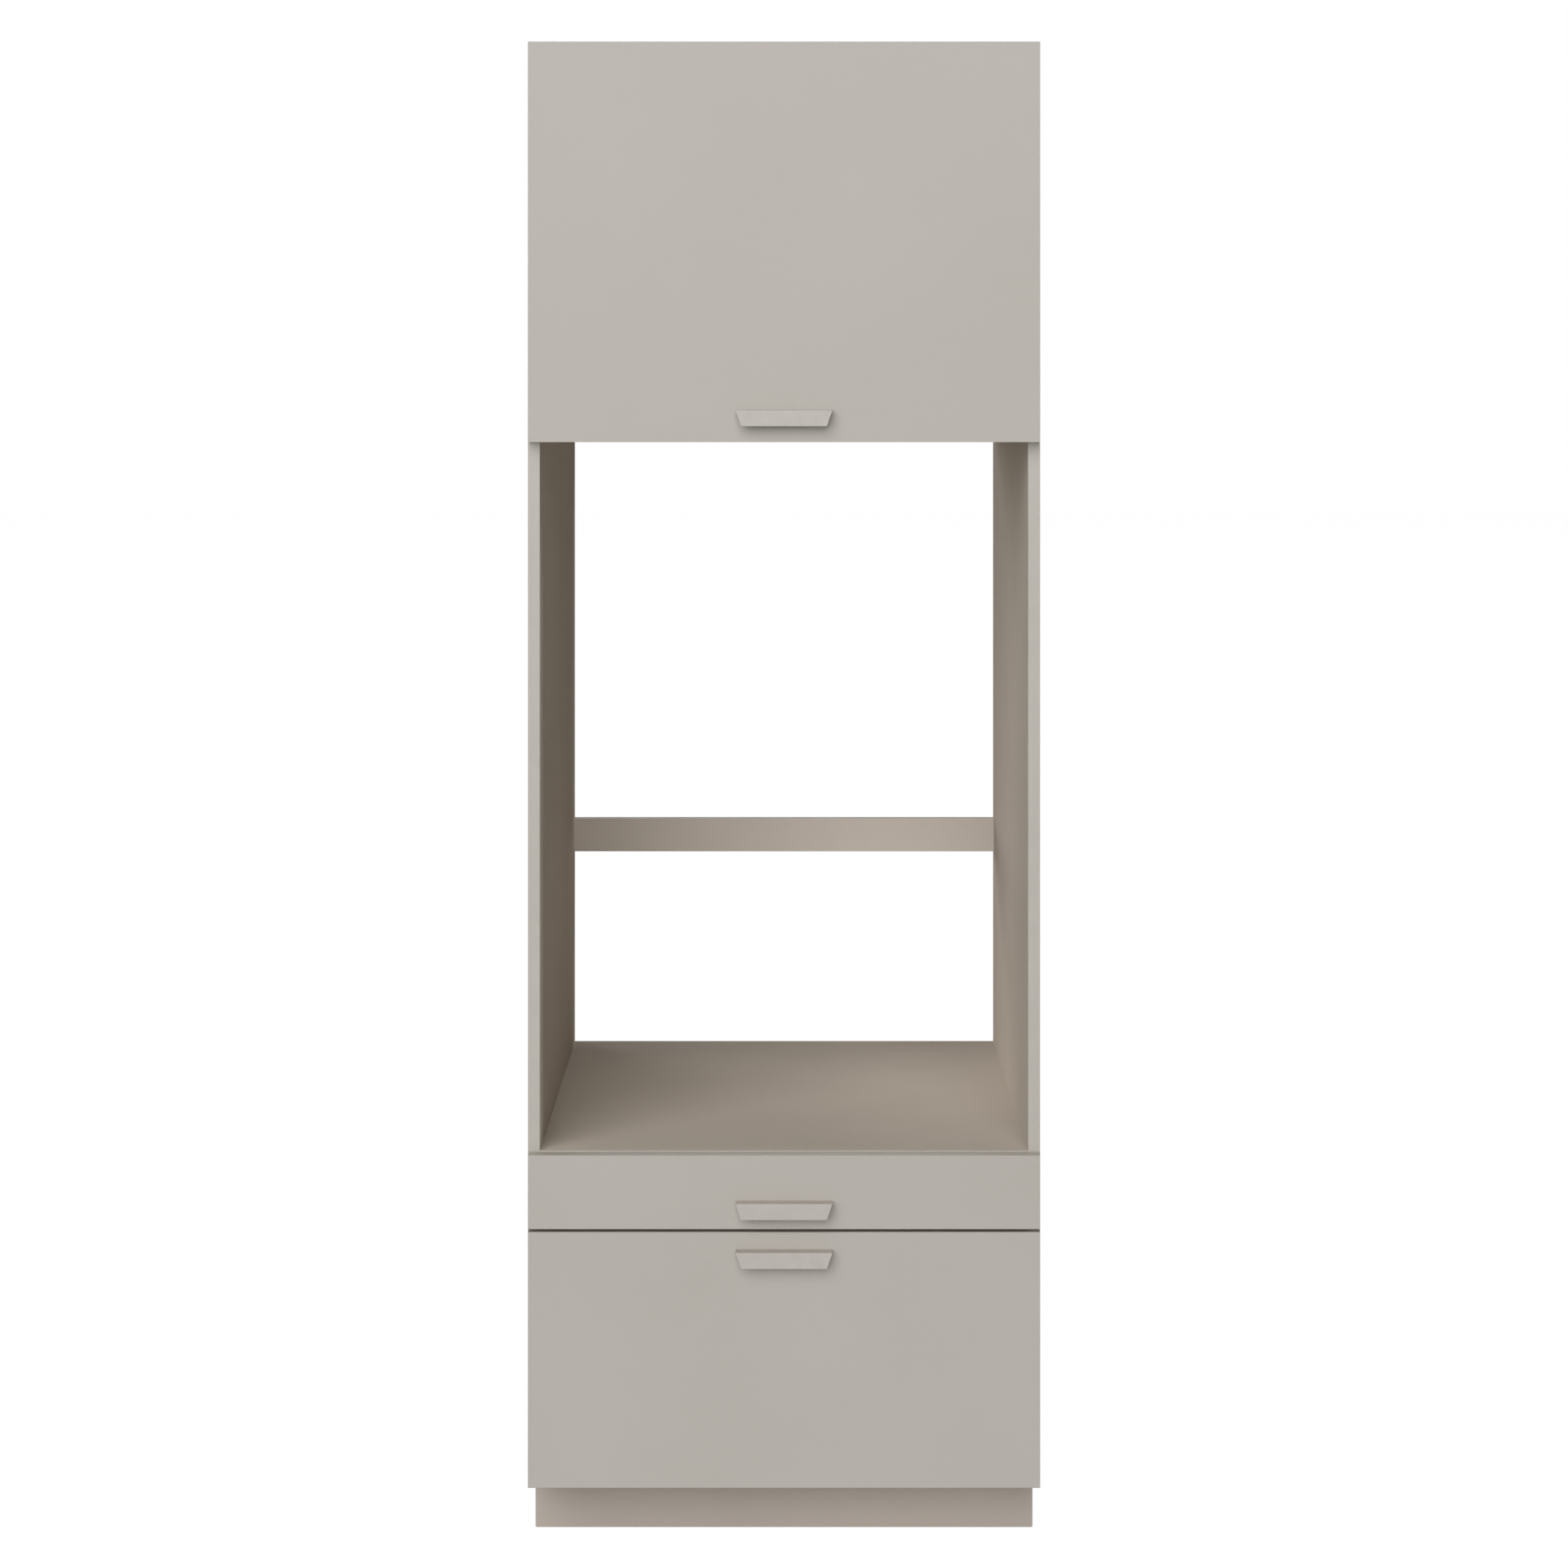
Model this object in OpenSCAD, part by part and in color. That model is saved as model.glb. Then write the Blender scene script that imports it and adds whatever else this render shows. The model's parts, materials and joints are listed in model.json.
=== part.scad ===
// Tall cabinet for a raised washing machine: two drawers below, an open machine
// niche in the middle and a compartment with a lift-up flap on top.
// The front faces -Y, +Z is up, and the origin is at floor level in the middle
// of the overall width and the overall depth.

/* [Carcass] */
// Overall width of the cabinet
cab_w = 640; // [620:1:700]
// Height of the carcass, without the plinth space below it
carcass_h = 1800; // [1760:5:2000]
// Depth of the carcass, without the fronts
cab_d = 600; // [580:1:660]
// Thickness of every carcass board
board = 15; // [14.5:0.5:18]
// Clear height of the machine niche
niche_h = 900; // [860:1:920]
// Height of the rear rail
rail_h = 48; // [40:1:80]
// Underside of the rear rail above the niche floor
rail_rise = 279; // [200:1:400]
// Thickness of the two hardboard backs
back_t = 3; // [2.5:0.5:5]
// Distance from the rear edges of the boards to the hardboard backs
back_setback = 10; // [8:1:14]
// Depth of the grooves that hold the hardboard backs
groove_depth = 6; // [4:0.5:7]

/* [Joinery] */
// Diameter of the wooden dowels
dowel_d = 8; // [6:1:8]
// Length of the wooden dowels
dowel_l = 30; // [26:1:34]
// Diameter of the cam locks
cam_d = 15; // [14:0.5:16]
// Distance from a board's end to the middle of its cam locks
cam_reach = 34; // [28:1:40]
// Distance from the front and rear edges to the cam locks
cam_setback = 60; // [50:1:80]
// Distance between a cam lock and the dowel beside it
dowel_pitch = 32; // [24:1:40]

/* [Fronts] */
// Thickness of the flap and the drawer fronts
front_t = 16; // [16:0.5:19]
// Gap between the carcass and the back of a closed front
front_gap = 2; // [2:0.1:2.6]
// Width of carcass edge that shows beside the fronts
side_reveal = 1.5; // [1:0.5:3]
// Height of carcass edge that shows under the large drawer front
bottom_reveal = 1.5; // [1:0.5:3]
// Height of carcass edge that shows above the flap
top_reveal = 0.5; // [0.5:0.5:3]
// Gap between the two drawer fronts
front_spacing = 3.5; // [2:0.5:5]
// Height of niche floor edge that shows above the small drawer front
floor_reveal = 1; // [0.5:0.5:3]
// Height of the small drawer front
small_front_h = 92; // [90:1:110]
// Height of the large drawer front
large_front_h = 318; // [300:1:340]
// Distance that the flap hangs below the niche ceiling
flap_drop = 14.5; // [5:0.5:30]

/* [Handles] */
// Width of a handle along its top edge
handle_w = 120; // [100:1:160]
// Amount by which each end of a handle slopes in towards its lower edge
handle_slope = 7; // [0:0.5:15]
// Height of a handle
handle_h = 20; // [18:0.5:28]
// Distance from the front to the outer face of a handle
handle_depth = 15; // [14:0.5:22]
// Thickness of the handle plate
handle_t = 3; // [2:0.5:4]
// Distance between the two fixing screws of a handle
handle_pitch = 64; // [56:1:72]
// Height of the flap handle above the lower edge of the flap
flap_handle_rise = 20; // [14:0.5:60]
// Height of the small drawer handle above the lower edge of its front
small_handle_rise = 16; // [14:0.5:60]
// Distance from the top of the large front down to its handle
large_handle_drop = 21; // [12:0.5:60]

/* [Plinth and legs] */
// Height of the carcass above the floor
leg_h = 83; // [75:1:120]
// Distance from the carcass front back to the plinth
plinth_setback = 70; // [50:1:90]
// Distance from the cabinet's sides in to the ends of the plinth
plinth_inset = 3.5; // [1:0.5:10]
// Thickness of the plinth board
plinth_t = 15; // [12:0.5:18]
// Gap between the plinth and the carcass above it
plinth_top_gap = 3; // [2:0.5:6]
// Gap between the plinth and the floor
plinth_floor_gap = 1; // [0.5:0.5:3]
// Diameter of the leg sockets
leg_d = 44; // [38:1:50]
// Side of the square plate of a leg
leg_plate = 60; // [56:1:64]
// Diameter of the threaded leg stems
stem_d = 30; // [24:1:32]
// Diameter of the foot pads
pad_d = 54; // [46:1:58]
// Distance from the cabinet's sides to the middle of a leg
leg_side_inset = 70; // [64:1:100]
// Distance from the carcass back to the middle of a rear leg
leg_back_inset = 60; // [40:1:100]

/* [Drawers] */
// Thickness of the drawer box walls
box_t = 12; // [11:0.5:13]
// Height of the small drawer box
small_box_h = 62; // [56:1:64]
// Height of the large drawer box
large_box_h = 230; // [150:1:260]
// Height of the small drawer box above the lower edge of its front
small_box_rise = 8; // [6:0.5:10]
// Gap between the bottom panel and the large drawer box
large_box_gap = 6; // [4:0.5:12]
// Thickness of the drawer bottoms
bottom_t = 6; // [4:0.5:8]
// Height of a drawer bottom above the lower edge of its box
bottom_rise = 8; // [6:0.5:10]
// Height of the large runners' middle above the lower edge of their box
large_runner_rise = 60; // [40:1:100]

/* [Runners] */
// Width of a closed runner, from the carcass to the drawer box
runner_w = 12.7; // [12.5:0.1:13.5]
// Height of the cabinet member of a runner
runner_h = 45; // [43:1:46]
// Thickness of the runner sheet steel
sheet = 1.2; // [1:0.1:1.4]
// Length of the runner members and of the drawer boxes that they carry
runner_len = 500; // [450:1:520]
// Length of a ball cage
cage_len = 120; // [100:1:160]
// Diameter of the runner balls
ball_d = 3.5; // [3.2:0.1:3.8]

/* [Hinges] */
// Distance from the cabinet's sides to the middle of a hinge
hinge_inset = 120; // [110:1:160]
// Diameter of the hinge cups
cup_d = 35; // [34:0.5:36]
// Depth of the hinge cups
cup_depth = 12.6; // [12.4:0.1:13]
// Distance from the flap's top edge to the cup bore
cup_edge = 3; // [2.8:0.1:3.2]
// Depth of the hinge axis below the rear face of the flap
axis_depth = 9.5; // [9.3:0.1:9.6]
// Distance from the flap's top edge down to the hinge axis
axis_drop = 5.9; // [5.8:0.1:6]
// Width of a hinge arm
arm_w = 16; // [12:1:18]
// Length of a hinge arm inside the carcass
arm_len = 62; // [58:1:80]

/* [Lift units] */
// Length of a lift unit housing
lift_len = 170; // [150:1:200]
// Height of a lift unit housing
lift_h = 114; // [100:1:130]
// Width of a lift unit housing, measured from the side panel
lift_w = 20; // [18:0.5:24]
// Distance from the carcass front to the lift unit housings
lift_setback = 30; // [26:1:50]
// Distance from the hinge axis back to the lever pivot
lever_back = 95; // [80:1:110]
// Distance from the hinge axis down to the lever pivot
lever_down = 90; // [80:1:100]
// Distance from the hinge axis down to the pivot on the flap
flap_pivot_down = 150; // [130:1:170]
// Distance from the flap's rear face back to the pivot on the flap
flap_pivot_back = 20; // [18:1:26]
// Thickness of the levers and links
lever_t = 4.5; // [4:0.5:5]

/* [Hidden] */

$fn = 48;
// Reach of a cut past the face that it opens
cut = 1;
// Play of loose parts in their holes, grooves and sockets
play = 0.1;
// Radial running fit of the pivot pins
pin_fit = 0.05;

// Colours
cashmere = [0.73, 0.71, 0.68];
box_grey = [0.86, 0.86, 0.85];
zinc = [0.72, 0.73, 0.75];
dark_plastic = [0.22, 0.22, 0.23];
hardboard = [0.74, 0.71, 0.67];
beech = [0.82, 0.68, 0.48];

// Carcass planes
overall_d = cab_d + front_gap + front_t + handle_depth;
back_y = overall_d / 2;
carcass_y = back_y - cab_d;
front_rear_y = carcass_y - front_gap;
front_face_y = front_rear_y - front_t;
half_w = cab_w / 2;
inner_half = half_w - board;
front_half = half_w - side_reveal;
base_z = leg_h;
top_z = leg_h + carcass_h;

// Front levels
large_front_z = base_z + bottom_reveal;
small_front_z = large_front_z + large_front_h + front_spacing;
niche_z = small_front_z + small_front_h + floor_reveal;
ceiling_z = niche_z + niche_h;
flap_z = ceiling_z - flap_drop;
flap_top_z = top_z - top_reveal;
flap_h = flap_top_z - flap_z;

// Lower edges of the handles, and their screws above those edges
flap_handle_z = flap_z + flap_handle_rise;
small_handle_z = small_front_z + small_handle_rise;
large_handle_z = large_front_z + large_front_h - large_handle_drop - handle_h;
handle_screw_rise = handle_h / 2;
boss_r = 5;

// Undersides of the four horizontal boards
board_levels = [base_z, niche_z - board, ceiling_z, top_z - board];

// Hardboard backs
groove_w = back_t + 2 * play;
groove_y = back_y - back_setback - back_t - play;
back_face_y = back_y - back_setback - back_t;
back_reach = groove_depth - 0.5;
upper_back_z = [ceiling_z + board - back_reach, top_z - board + back_reach];
lower_back_z = [base_z + board - back_reach, niche_z - board + back_reach];

// Joinery
dowel_in_side = 10;
cam_h = board - 2.5;
slot_l = 10;
slot_w = 1.4;
slot_depth = 1.6;
bolt_r = 3;
bolt_thread_r = 2.5;
bolt_in_side = 10;
cam_ys = [carcass_y + cam_setback, back_y - cam_setback];
dowel_ys = [carcass_y + cam_setback + dowel_pitch, back_y - cam_setback - dowel_pitch];
rail_z = niche_z + rail_rise;
rail_dowel_zs = [rail_z + rail_h / 4, rail_z + rail_h * 3 / 4];

// Fitting screws, one size for all metal fittings
screw_r = 2.4;
screw_l = 11;
screw_head_r = 4.2;
screw_head_h = 1.4;

// Countersunk screws of the handles and the drawer fronts
cs_r = 2;
cs_head_r = 4;
cs_head_h = 2.2;
cs_l = front_t + 8;

// Legs
plate_t = 4;
socket_end_z = leg_h * 0.36;
pad_h = 8;
stem_top_z = leg_h - plate_t - 8;
leg_x = half_w - leg_side_inset;
plinth_rear_y = carcass_y + plinth_setback + plinth_t;
leg_front_y = plinth_rear_y + leg_plate / 2 + 4;
leg_rear_y = back_y - leg_back_inset;
leg_ys = [leg_front_y, leg_rear_y];
leg_screw_offset = leg_plate / 2 - 6;
clip_w = 28;
clip_z = leg_h / 2;
clip_h = 12;
clip_t = 3;

// Wall brackets
bracket_x = 150;
bracket_w = 40;
bracket_t = 2;
bracket_leg = 40;
wall_hole_r = 3.25;
wall_hole_z = top_z - board - bracket_leg / 2;

// Drawers
box_screw_inset = 60;
low_screw_rise = 22;
high_screw_drop = 14;
bumper_r = 4;
bumper_inset = 20;
box_half = inner_half - runner_w;
box_y = front_rear_y;
box_end_y = box_y + runner_len;
bottom_groove = 5;
small_box_z = small_front_z + small_box_rise;
large_box_z = base_z + board + large_box_gap;
small_runner_z = small_box_z + small_box_h / 2;
large_runner_z = large_box_z + large_runner_rise;
runner_setback = 2;
runner_y = carcass_y + runner_setback;
runner_end_y = runner_y + runner_len;
outer_lip = 9;
lip_return = 1.4;
cage_w = 2.8;
cage_t = 0.8;
outer_cage_out = 5.2;
inner_cage_out = 7.8;
race_gap = ball_d + 0.3;
middle_half = runner_h / 2 - sheet - race_gap;
inner_member_half = middle_half - sheet - race_gap;
middle_web = 3;
outer_race = middle_half + race_gap / 2;
inner_race = inner_member_half + race_gap / 2;
runner_screw_inset = 37;
outer_screw_ys = [runner_y + runner_screw_inset, (runner_y + runner_end_y) / 2,
    runner_end_y - runner_screw_inset];

// Hinges
hinge_x = half_w - hinge_inset;
axis_y = front_rear_y - axis_depth;
axis_z = flap_top_z - axis_drop;
top_under_z = top_z - board;
cup_z = flap_top_z - cup_edge - cup_d / 2;
cup_wall = 0.6;
pin_r = 1;
hinge_hub_r = 1.7;
neck_w = 8;
ear_t = 1.6;
plate_drop = 2.3;
arm_t = 2;
arm_top_z = top_under_z - plate_drop;
hinge_plate_w = 50;
hinge_plate_l = 34;
hinge_plate_setback = 20;
hinge_plate_y = [carcass_y + hinge_plate_setback, carcass_y + hinge_plate_setback + hinge_plate_l];
hinge_screw_x = 16;
arm_setback = 6;
neck_end = 8;
arm_flange_h = 5;
rivet_r = 3.5;
rivet_h = 2;
rivet_setbacks = [22, 46];
cup_flange_w = 60;
cup_flange_t = 0.8;
cup_flange_drop = 12;
cup_flange_rise = 8;
ear_clear = 0.3;
ear_drop = 7;
ear_rise = 4;

// Lift units: the hinge axis, the two lever ends and the flap pivot are the
// corners of a parallelogram, so a lever turns exactly as far as the flap
lever_pivot = [axis_y + lever_back, axis_z - lever_down];
flap_pivot = [front_rear_y + flap_pivot_back, axis_z - flap_pivot_down];
lever_vec = [flap_pivot[0] - axis_y, flap_pivot[1] - axis_z];
elbow = [lever_pivot[0] + lever_vec[0], lever_pivot[1] + lever_vec[1]];
lift_y = [carcass_y + lift_setback, carcass_y + lift_setback + lift_len];
lift_rise = 44;
lift_z = [lever_pivot[1] - lift_h + lift_rise, lever_pivot[1] + lift_rise];
lift_wall = 1.5;
lift_back_wall = 2;
lift_screw_inset = 12;
lift_x = inner_half - lift_w;
cover_x = lift_x - lift_wall;
lever_gap = 1;
lever_x = [cover_x - lever_gap - lever_t, cover_x - lever_gap];
link_x = [lever_x[0] - lever_gap - lever_t, lever_x[0] - lever_gap];
pivot_r = 4;
elbow_r = 3.5;
flap_pin_r = 3;
open_pivot_play = 0.3;
spring_r = 20;
lever_hub_r = 13;
lever_end_r = 8;
lever_w = 14;
link_end_r = 7;
link_w = 12;
flap_plate_w = 16;
flap_plate_h = 52;
flap_plate_t = 1.6;
flap_ear_t = 2.5;
flap_ear_r = 9;

// A block given by its low and high limits along each axis
module block(x, y, z) {
    translate([x[0], y[0], z[0]])
        cube([x[1] - x[0], y[1] - y[0], z[1] - z[0]]);
}

// Round rods that start at a point and run along +X, +Y or +Z
module rod_x(p, r, l) {
    translate(p)
        rotate([0, 90, 0])
            cylinder(r = r, h = l);
}

module rod_y(p, r, l) {
    translate(p)
        rotate([-90, 0, 0])
            cylinder(r = r, h = l);
}

module rod_z(p, r, l) {
    translate(p)
        cylinder(r = r, h = l);
}

// The children and their mirror image on the other side
module both_sides() {
    children();
    mirror([1, 0, 0])
        children();
}

// Joinery between a board's end and the side panel
module dowel_hole(y, z) {
    rod_x([inner_half - dowel_l + dowel_in_side - play, y, z], dowel_d / 2 + play / 2,
        dowel_l + 2 * play);
}

module bolt_hole(y, z) {
    rod_x([inner_half - cut, y, z], bolt_thread_r + play / 2, bolt_in_side + cut + play);
}

module shelf_joinery_holes(z) {
    for (y = cam_ys)
        bolt_hole(y, z);
    for (y = dowel_ys)
        dowel_hole(y, z);
}

// A hole for a fitting screw that is driven along +X into the side panel
module side_screw_hole(y, z) {
    rod_x([inner_half - cut, y, z], screw_r + play, screw_l + cut);
}

module runner_screw_holes(z) {
    for (y = outer_screw_ys)
        side_screw_hole(y, z);
}

module lift_screw_places() {
    for (y = [lift_y[0] + lift_screw_inset, lift_y[1] - lift_screw_inset],
            z = [lift_z[0] + lift_screw_inset, lift_z[1] - lift_screw_inset])
        translate([0, y, z])
            children();
}

// Side panel on the right, with its grooves and holes
module side_board() {
    color(cashmere)
        difference() {
            block([inner_half, half_w], [carcass_y, back_y], [base_z, top_z]);
            for (z = [upper_back_z, lower_back_z])
                block([inner_half - cut, inner_half + groove_depth], [groove_y, groove_y + groove_w],
                    [z[0] - play, z[1] + play]);
            for (level = board_levels)
                shelf_joinery_holes(level + board / 2);
            for (z = rail_dowel_zs)
                dowel_hole(back_y - board / 2, z);
            runner_screw_holes(small_runner_z);
            runner_screw_holes(large_runner_z);
            lift_screw_places()
                side_screw_hole(0, 0);
        }
}

module side_right() {
    side_board();
}

module side_left() {
    mirror([1, 0, 0])
        side_board();
}

// A horizontal board with its cam lock pockets, bolt bores and dowel holes
module shelf_board(z) {
    difference() {
        block([-inner_half, inner_half], [carcass_y, back_y], [z, z + board]);
        both_sides() {
            for (y = cam_ys) {
                rod_z([inner_half - cam_reach, y, z - cut], cam_d / 2 + play / 2, cam_h + cut);
                rod_x([inner_half - cam_reach, y, z + board / 2], bolt_r + 1, cam_reach + cut);
            }
            for (y = dowel_ys)
                dowel_hole(y, z + board / 2);
        }
    }
}

// Groove for a hardboard back in a board, between two heights
module back_groove(z) {
    block([-inner_half - cut, inner_half + cut], [groove_y, groove_y + groove_w], z);
}

// A hole for a fitting screw that is driven along +Z into a board's underside
module under_screw_hole(x, y, z) {
    rod_z([x, y, z - cut], screw_r + play, screw_l + cut);
}

module hinge_screw_places() {
    for (x = [-hinge_screw_x, hinge_screw_x])
        translate([hinge_x + x, (hinge_plate_y[0] + hinge_plate_y[1]) / 2, 0])
            children();
}

module top_panel() {
    color(cashmere)
        difference() {
            shelf_board(top_under_z);
            back_groove([top_under_z - cut, top_under_z + groove_depth]);
            both_sides() {
                hinge_screw_places()
                    under_screw_hole(0, 0, top_under_z);
                under_screw_hole(bracket_x, back_face_y - bracket_leg / 2, top_under_z);
            }
        }
}

module upper_floor() {
    top = ceiling_z + board;
    color(cashmere)
        difference() {
            shelf_board(ceiling_z);
            back_groove([top - groove_depth, top + cut]);
        }
}

module niche_floor() {
    color(cashmere)
        difference() {
            shelf_board(niche_z - board);
            back_groove([niche_z - board - cut, niche_z - board + groove_depth]);
        }
}

module leg_screw_places() {
    for (y = leg_ys, dx = [-1, 1], dy = [-1, 1])
        translate([leg_x + dx * leg_screw_offset, y + dy * leg_screw_offset, 0])
            children();
}

module bottom_panel() {
    top = base_z + board;
    color(cashmere)
        difference() {
            shelf_board(base_z);
            back_groove([top - groove_depth, top + cut]);
            both_sides()
                leg_screw_places()
                    under_screw_hole(0, 0, base_z);
        }
}

module rear_rail() {
    color(cashmere)
        difference() {
            block([-inner_half, inner_half], [back_y - board, back_y], [rail_z, rail_z + rail_h]);
            both_sides()
                for (z = rail_dowel_zs)
                    dowel_hole(back_y - board / 2, z);
        }
}

module back_sheet(z) {
    block([-inner_half - back_reach, inner_half + back_reach],
        [back_face_y, back_face_y + back_t], z);
}

module upper_back() {
    color(hardboard)
        difference() {
            back_sheet(upper_back_z);
            both_sides()
                rod_y([bracket_x, back_face_y - cut, wall_hole_z], wall_hole_r + 1, back_t + 2 * cut);
        }
}

module lower_back() {
    color(hardboard)
        back_sheet(lower_back_z);
}

module panel_dowel(y, z) {
    rod_x([inner_half - dowel_l + dowel_in_side, y, z], dowel_d / 2, dowel_l);
}

module panel_dowels() {
    color(beech)
        both_sides() {
            for (level = board_levels, y = dowel_ys)
                panel_dowel(y, level + board / 2);
            for (z = rail_dowel_zs)
                panel_dowel(back_y - board / 2, z);
        }
}

// A cam lock with its pocket for the bolt head and its driver slot
module cam_lock(y, level) {
    x = inner_half - cam_reach;
    difference() {
        rod_z([x, y, level + 0.2], cam_d / 2, cam_h - 0.4);
        rod_x([x - 2, y, level + board / 2], bolt_r + 1, cam_d);
        block([x - slot_l / 2, x + slot_l / 2], [y - slot_w / 2, y + slot_w / 2],
            [level - cut, level + slot_depth]);
    }
}

module cam_locks() {
    color(zinc)
        both_sides()
            for (level = board_levels, y = cam_ys)
                cam_lock(y, level);
}

module cam_bolt(y, z) {
    neck_l = 4;
    rod_x([inner_half, y, z], bolt_thread_r, bolt_in_side);
    rod_x([inner_half - cam_reach + neck_l, y, z], bolt_r, cam_reach - neck_l);
    rod_x([inner_half - cam_reach + 0.5, y, z], bolt_r - 1, neck_l);
    rod_x([inner_half - cam_reach - 1.5, y, z], bolt_r + 0.6, 2);
}

module cam_bolts() {
    color(zinc)
        both_sides()
            for (level = board_levels, y = cam_ys)
                cam_bolt(y, level + board / 2);
}

// Legs: a screwed socket and a foot whose threaded stem turns up into it
module leg_socket(y) {
    difference() {
        union() {
            block([leg_x - leg_plate / 2, leg_x + leg_plate / 2],
                [y - leg_plate / 2, y + leg_plate / 2], [leg_h - plate_t, leg_h]);
            rod_z([leg_x, y, socket_end_z], leg_d / 2, leg_h - plate_t - socket_end_z);
        }
        rod_z([leg_x, y, socket_end_z - cut], stem_d / 2 + play, stem_top_z - socket_end_z + 2 * cut);
        for (dx = [-1, 1], dy = [-1, 1])
            rod_z([leg_x + dx * leg_screw_offset, y + dy * leg_screw_offset, leg_h - plate_t - cut],
                screw_r + play, plate_t + 2 * cut);
    }
}

module leg_sockets() {
    color(dark_plastic)
        both_sides()
            for (y = leg_ys)
                leg_socket(y);
}

module leg_foot(y) {
    translate([leg_x, y, 0])
        rotate_extrude()
            polygon([
                [0, 0], [pad_d / 2 - 1, 0], [pad_d / 2, 1], [pad_d / 2, pad_h - 2],
                [pad_d / 2 - 4, pad_h], [stem_d / 2, pad_h + 4], [stem_d / 2, stem_top_z - 1],
                [stem_d / 2 - 1, stem_top_z], [0, stem_top_z]
            ]);
}

module leg_feet() {
    color(dark_plastic)
        both_sides()
            for (y = leg_ys)
                leg_foot(y);
}

module plinth_panel() {
    color(cashmere)
        block([-half_w + plinth_inset, half_w - plinth_inset],
            [plinth_rear_y - plinth_t, plinth_rear_y], [plinth_floor_gap, leg_h - plinth_top_gap]);
}

// Clip that snaps round a front leg and is fixed to the back of the plinth
module plinth_clip() {
    outer_r = leg_d / 2 + clip_t;
    difference() {
        union() {
            rod_z([leg_x, leg_front_y, clip_z], outer_r, clip_h);
            block([leg_x - clip_w / 2, leg_x + clip_w / 2], [plinth_rear_y, leg_front_y],
                [clip_z, clip_z + clip_h]);
        }
        rod_z([leg_x, leg_front_y, clip_z - cut], leg_d / 2 + play, clip_h + 2 * cut);
        block([leg_x - leg_d / 3, leg_x + leg_d / 3], [leg_front_y, leg_front_y + leg_d],
            [clip_z - cut, clip_z + clip_h + cut]);
    }
}

module plinth_clips() {
    color(dark_plastic)
        both_sides()
            plinth_clip();
}

// Angle that ties the cabinet to the wall behind it
module wall_bracket() {
    x = [bracket_x - bracket_w / 2, bracket_x + bracket_w / 2];
    difference() {
        union() {
            block(x, [back_face_y - bracket_leg, back_face_y], [top_under_z - bracket_t, top_under_z]);
            block(x, [back_face_y - bracket_t, back_face_y],
                [top_under_z - bracket_leg, top_under_z]);
        }
        rod_z([bracket_x, back_face_y - bracket_leg / 2, top_under_z - bracket_t - cut],
            screw_r + play, bracket_t + 2 * cut);
        rod_y([bracket_x, back_face_y - bracket_t - cut, wall_hole_z], wall_hole_r,
            bracket_t + 2 * cut);
    }
}

module wall_brackets() {
    color(zinc)
        both_sides()
            wall_bracket();
}

// Hinges
module hinge_plate() {
    difference() {
        block([hinge_x - hinge_plate_w / 2, hinge_x + hinge_plate_w / 2], hinge_plate_y,
            [arm_top_z, top_under_z]);
        hinge_screw_places()
            rod_z([0, 0, arm_top_z - cut], screw_r + play, plate_drop + 2 * cut);
    }
}

module hinge_plates() {
    color(zinc)
        both_sides()
            hinge_plate();
}

// Cranked arm: it runs forward under the top panel, then up inside the cup
module hinge_arm() {
    neck_x = [hinge_x - neck_w / 2, hinge_x + neck_w / 2];
    arm_x = [hinge_x - arm_w / 2, hinge_x + arm_w / 2];
    arm_y = [carcass_y + arm_setback, carcass_y + arm_len];
    arm_z = [arm_top_z - arm_t, arm_top_z];
    difference() {
        union() {
            block(neck_x, [axis_y - arm_t / 2, carcass_y + neck_end], arm_z);
            block(neck_x, [axis_y - arm_t / 2, axis_y + arm_t / 2], [arm_z[0], axis_z]);
            rod_x([neck_x[0], axis_y, axis_z], hinge_hub_r, neck_w);
            block(arm_x, arm_y, arm_z);
            block([arm_x[0], arm_x[0] + arm_t], arm_y, [arm_z[0] - arm_flange_h, arm_z[0]]);
            block([arm_x[1] - arm_t, arm_x[1]], arm_y, [arm_z[0] - arm_flange_h, arm_z[0]]);
            for (setback = rivet_setbacks)
                rod_z([hinge_x, carcass_y + setback, arm_z[0] - rivet_h], rivet_r, rivet_h);
        }
        rod_x([neck_x[0] - cut, axis_y, axis_z], pin_r + play / 5, neck_w + 2 * cut);
    }
}

module hinge_arms() {
    color(zinc)
        both_sides()
            hinge_arm();
}

module hinge_pins() {
    color(zinc)
        both_sides()
            rod_x([hinge_x - neck_w / 2 - ear_clear - ear_t, axis_y, axis_z], pin_r,
                neck_w + 2 * (ear_clear + ear_t));
}

// Cup pressed into the flap, with two ears that turn on the hinge pin
module hinge_cup() {
    rear = front_rear_y;
    ear_in = neck_w / 2 + ear_clear;
    difference() {
        union() {
            difference() {
                union() {
                    rod_y([hinge_x, rear - cup_depth, cup_z], cup_d / 2, cup_depth);
                    block([hinge_x - cup_flange_w / 2, hinge_x + cup_flange_w / 2],
                        [rear, rear + cup_flange_t],
                        [cup_z - cup_flange_drop, cup_z + cup_flange_rise]);
                }
                rod_y([hinge_x, rear - cup_depth + cup_wall, cup_z], cup_d / 2 - cup_wall,
                    cup_depth + cut);
            }
            intersection() {
                rod_y([hinge_x, rear - cup_depth, cup_z], cup_d / 2, cup_depth);
                union()
                    for (side = [-1, 1])
                        block([hinge_x + side * (ear_in + ear_t / 2) - ear_t / 2,
                            hinge_x + side * (ear_in + ear_t / 2) + ear_t / 2],
                            [rear - cup_depth, rear - cup_wall],
                            [axis_z - ear_drop, axis_z + ear_rise]);
            }
        }
        rod_x([hinge_x - ear_in - ear_t - 2, axis_y, axis_z], pin_r + pin_fit,
            2 * (ear_in + ear_t + 2));
    }
}

module hinge_cups() {
    color(zinc)
        both_sides()
            hinge_cup();
}

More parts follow.
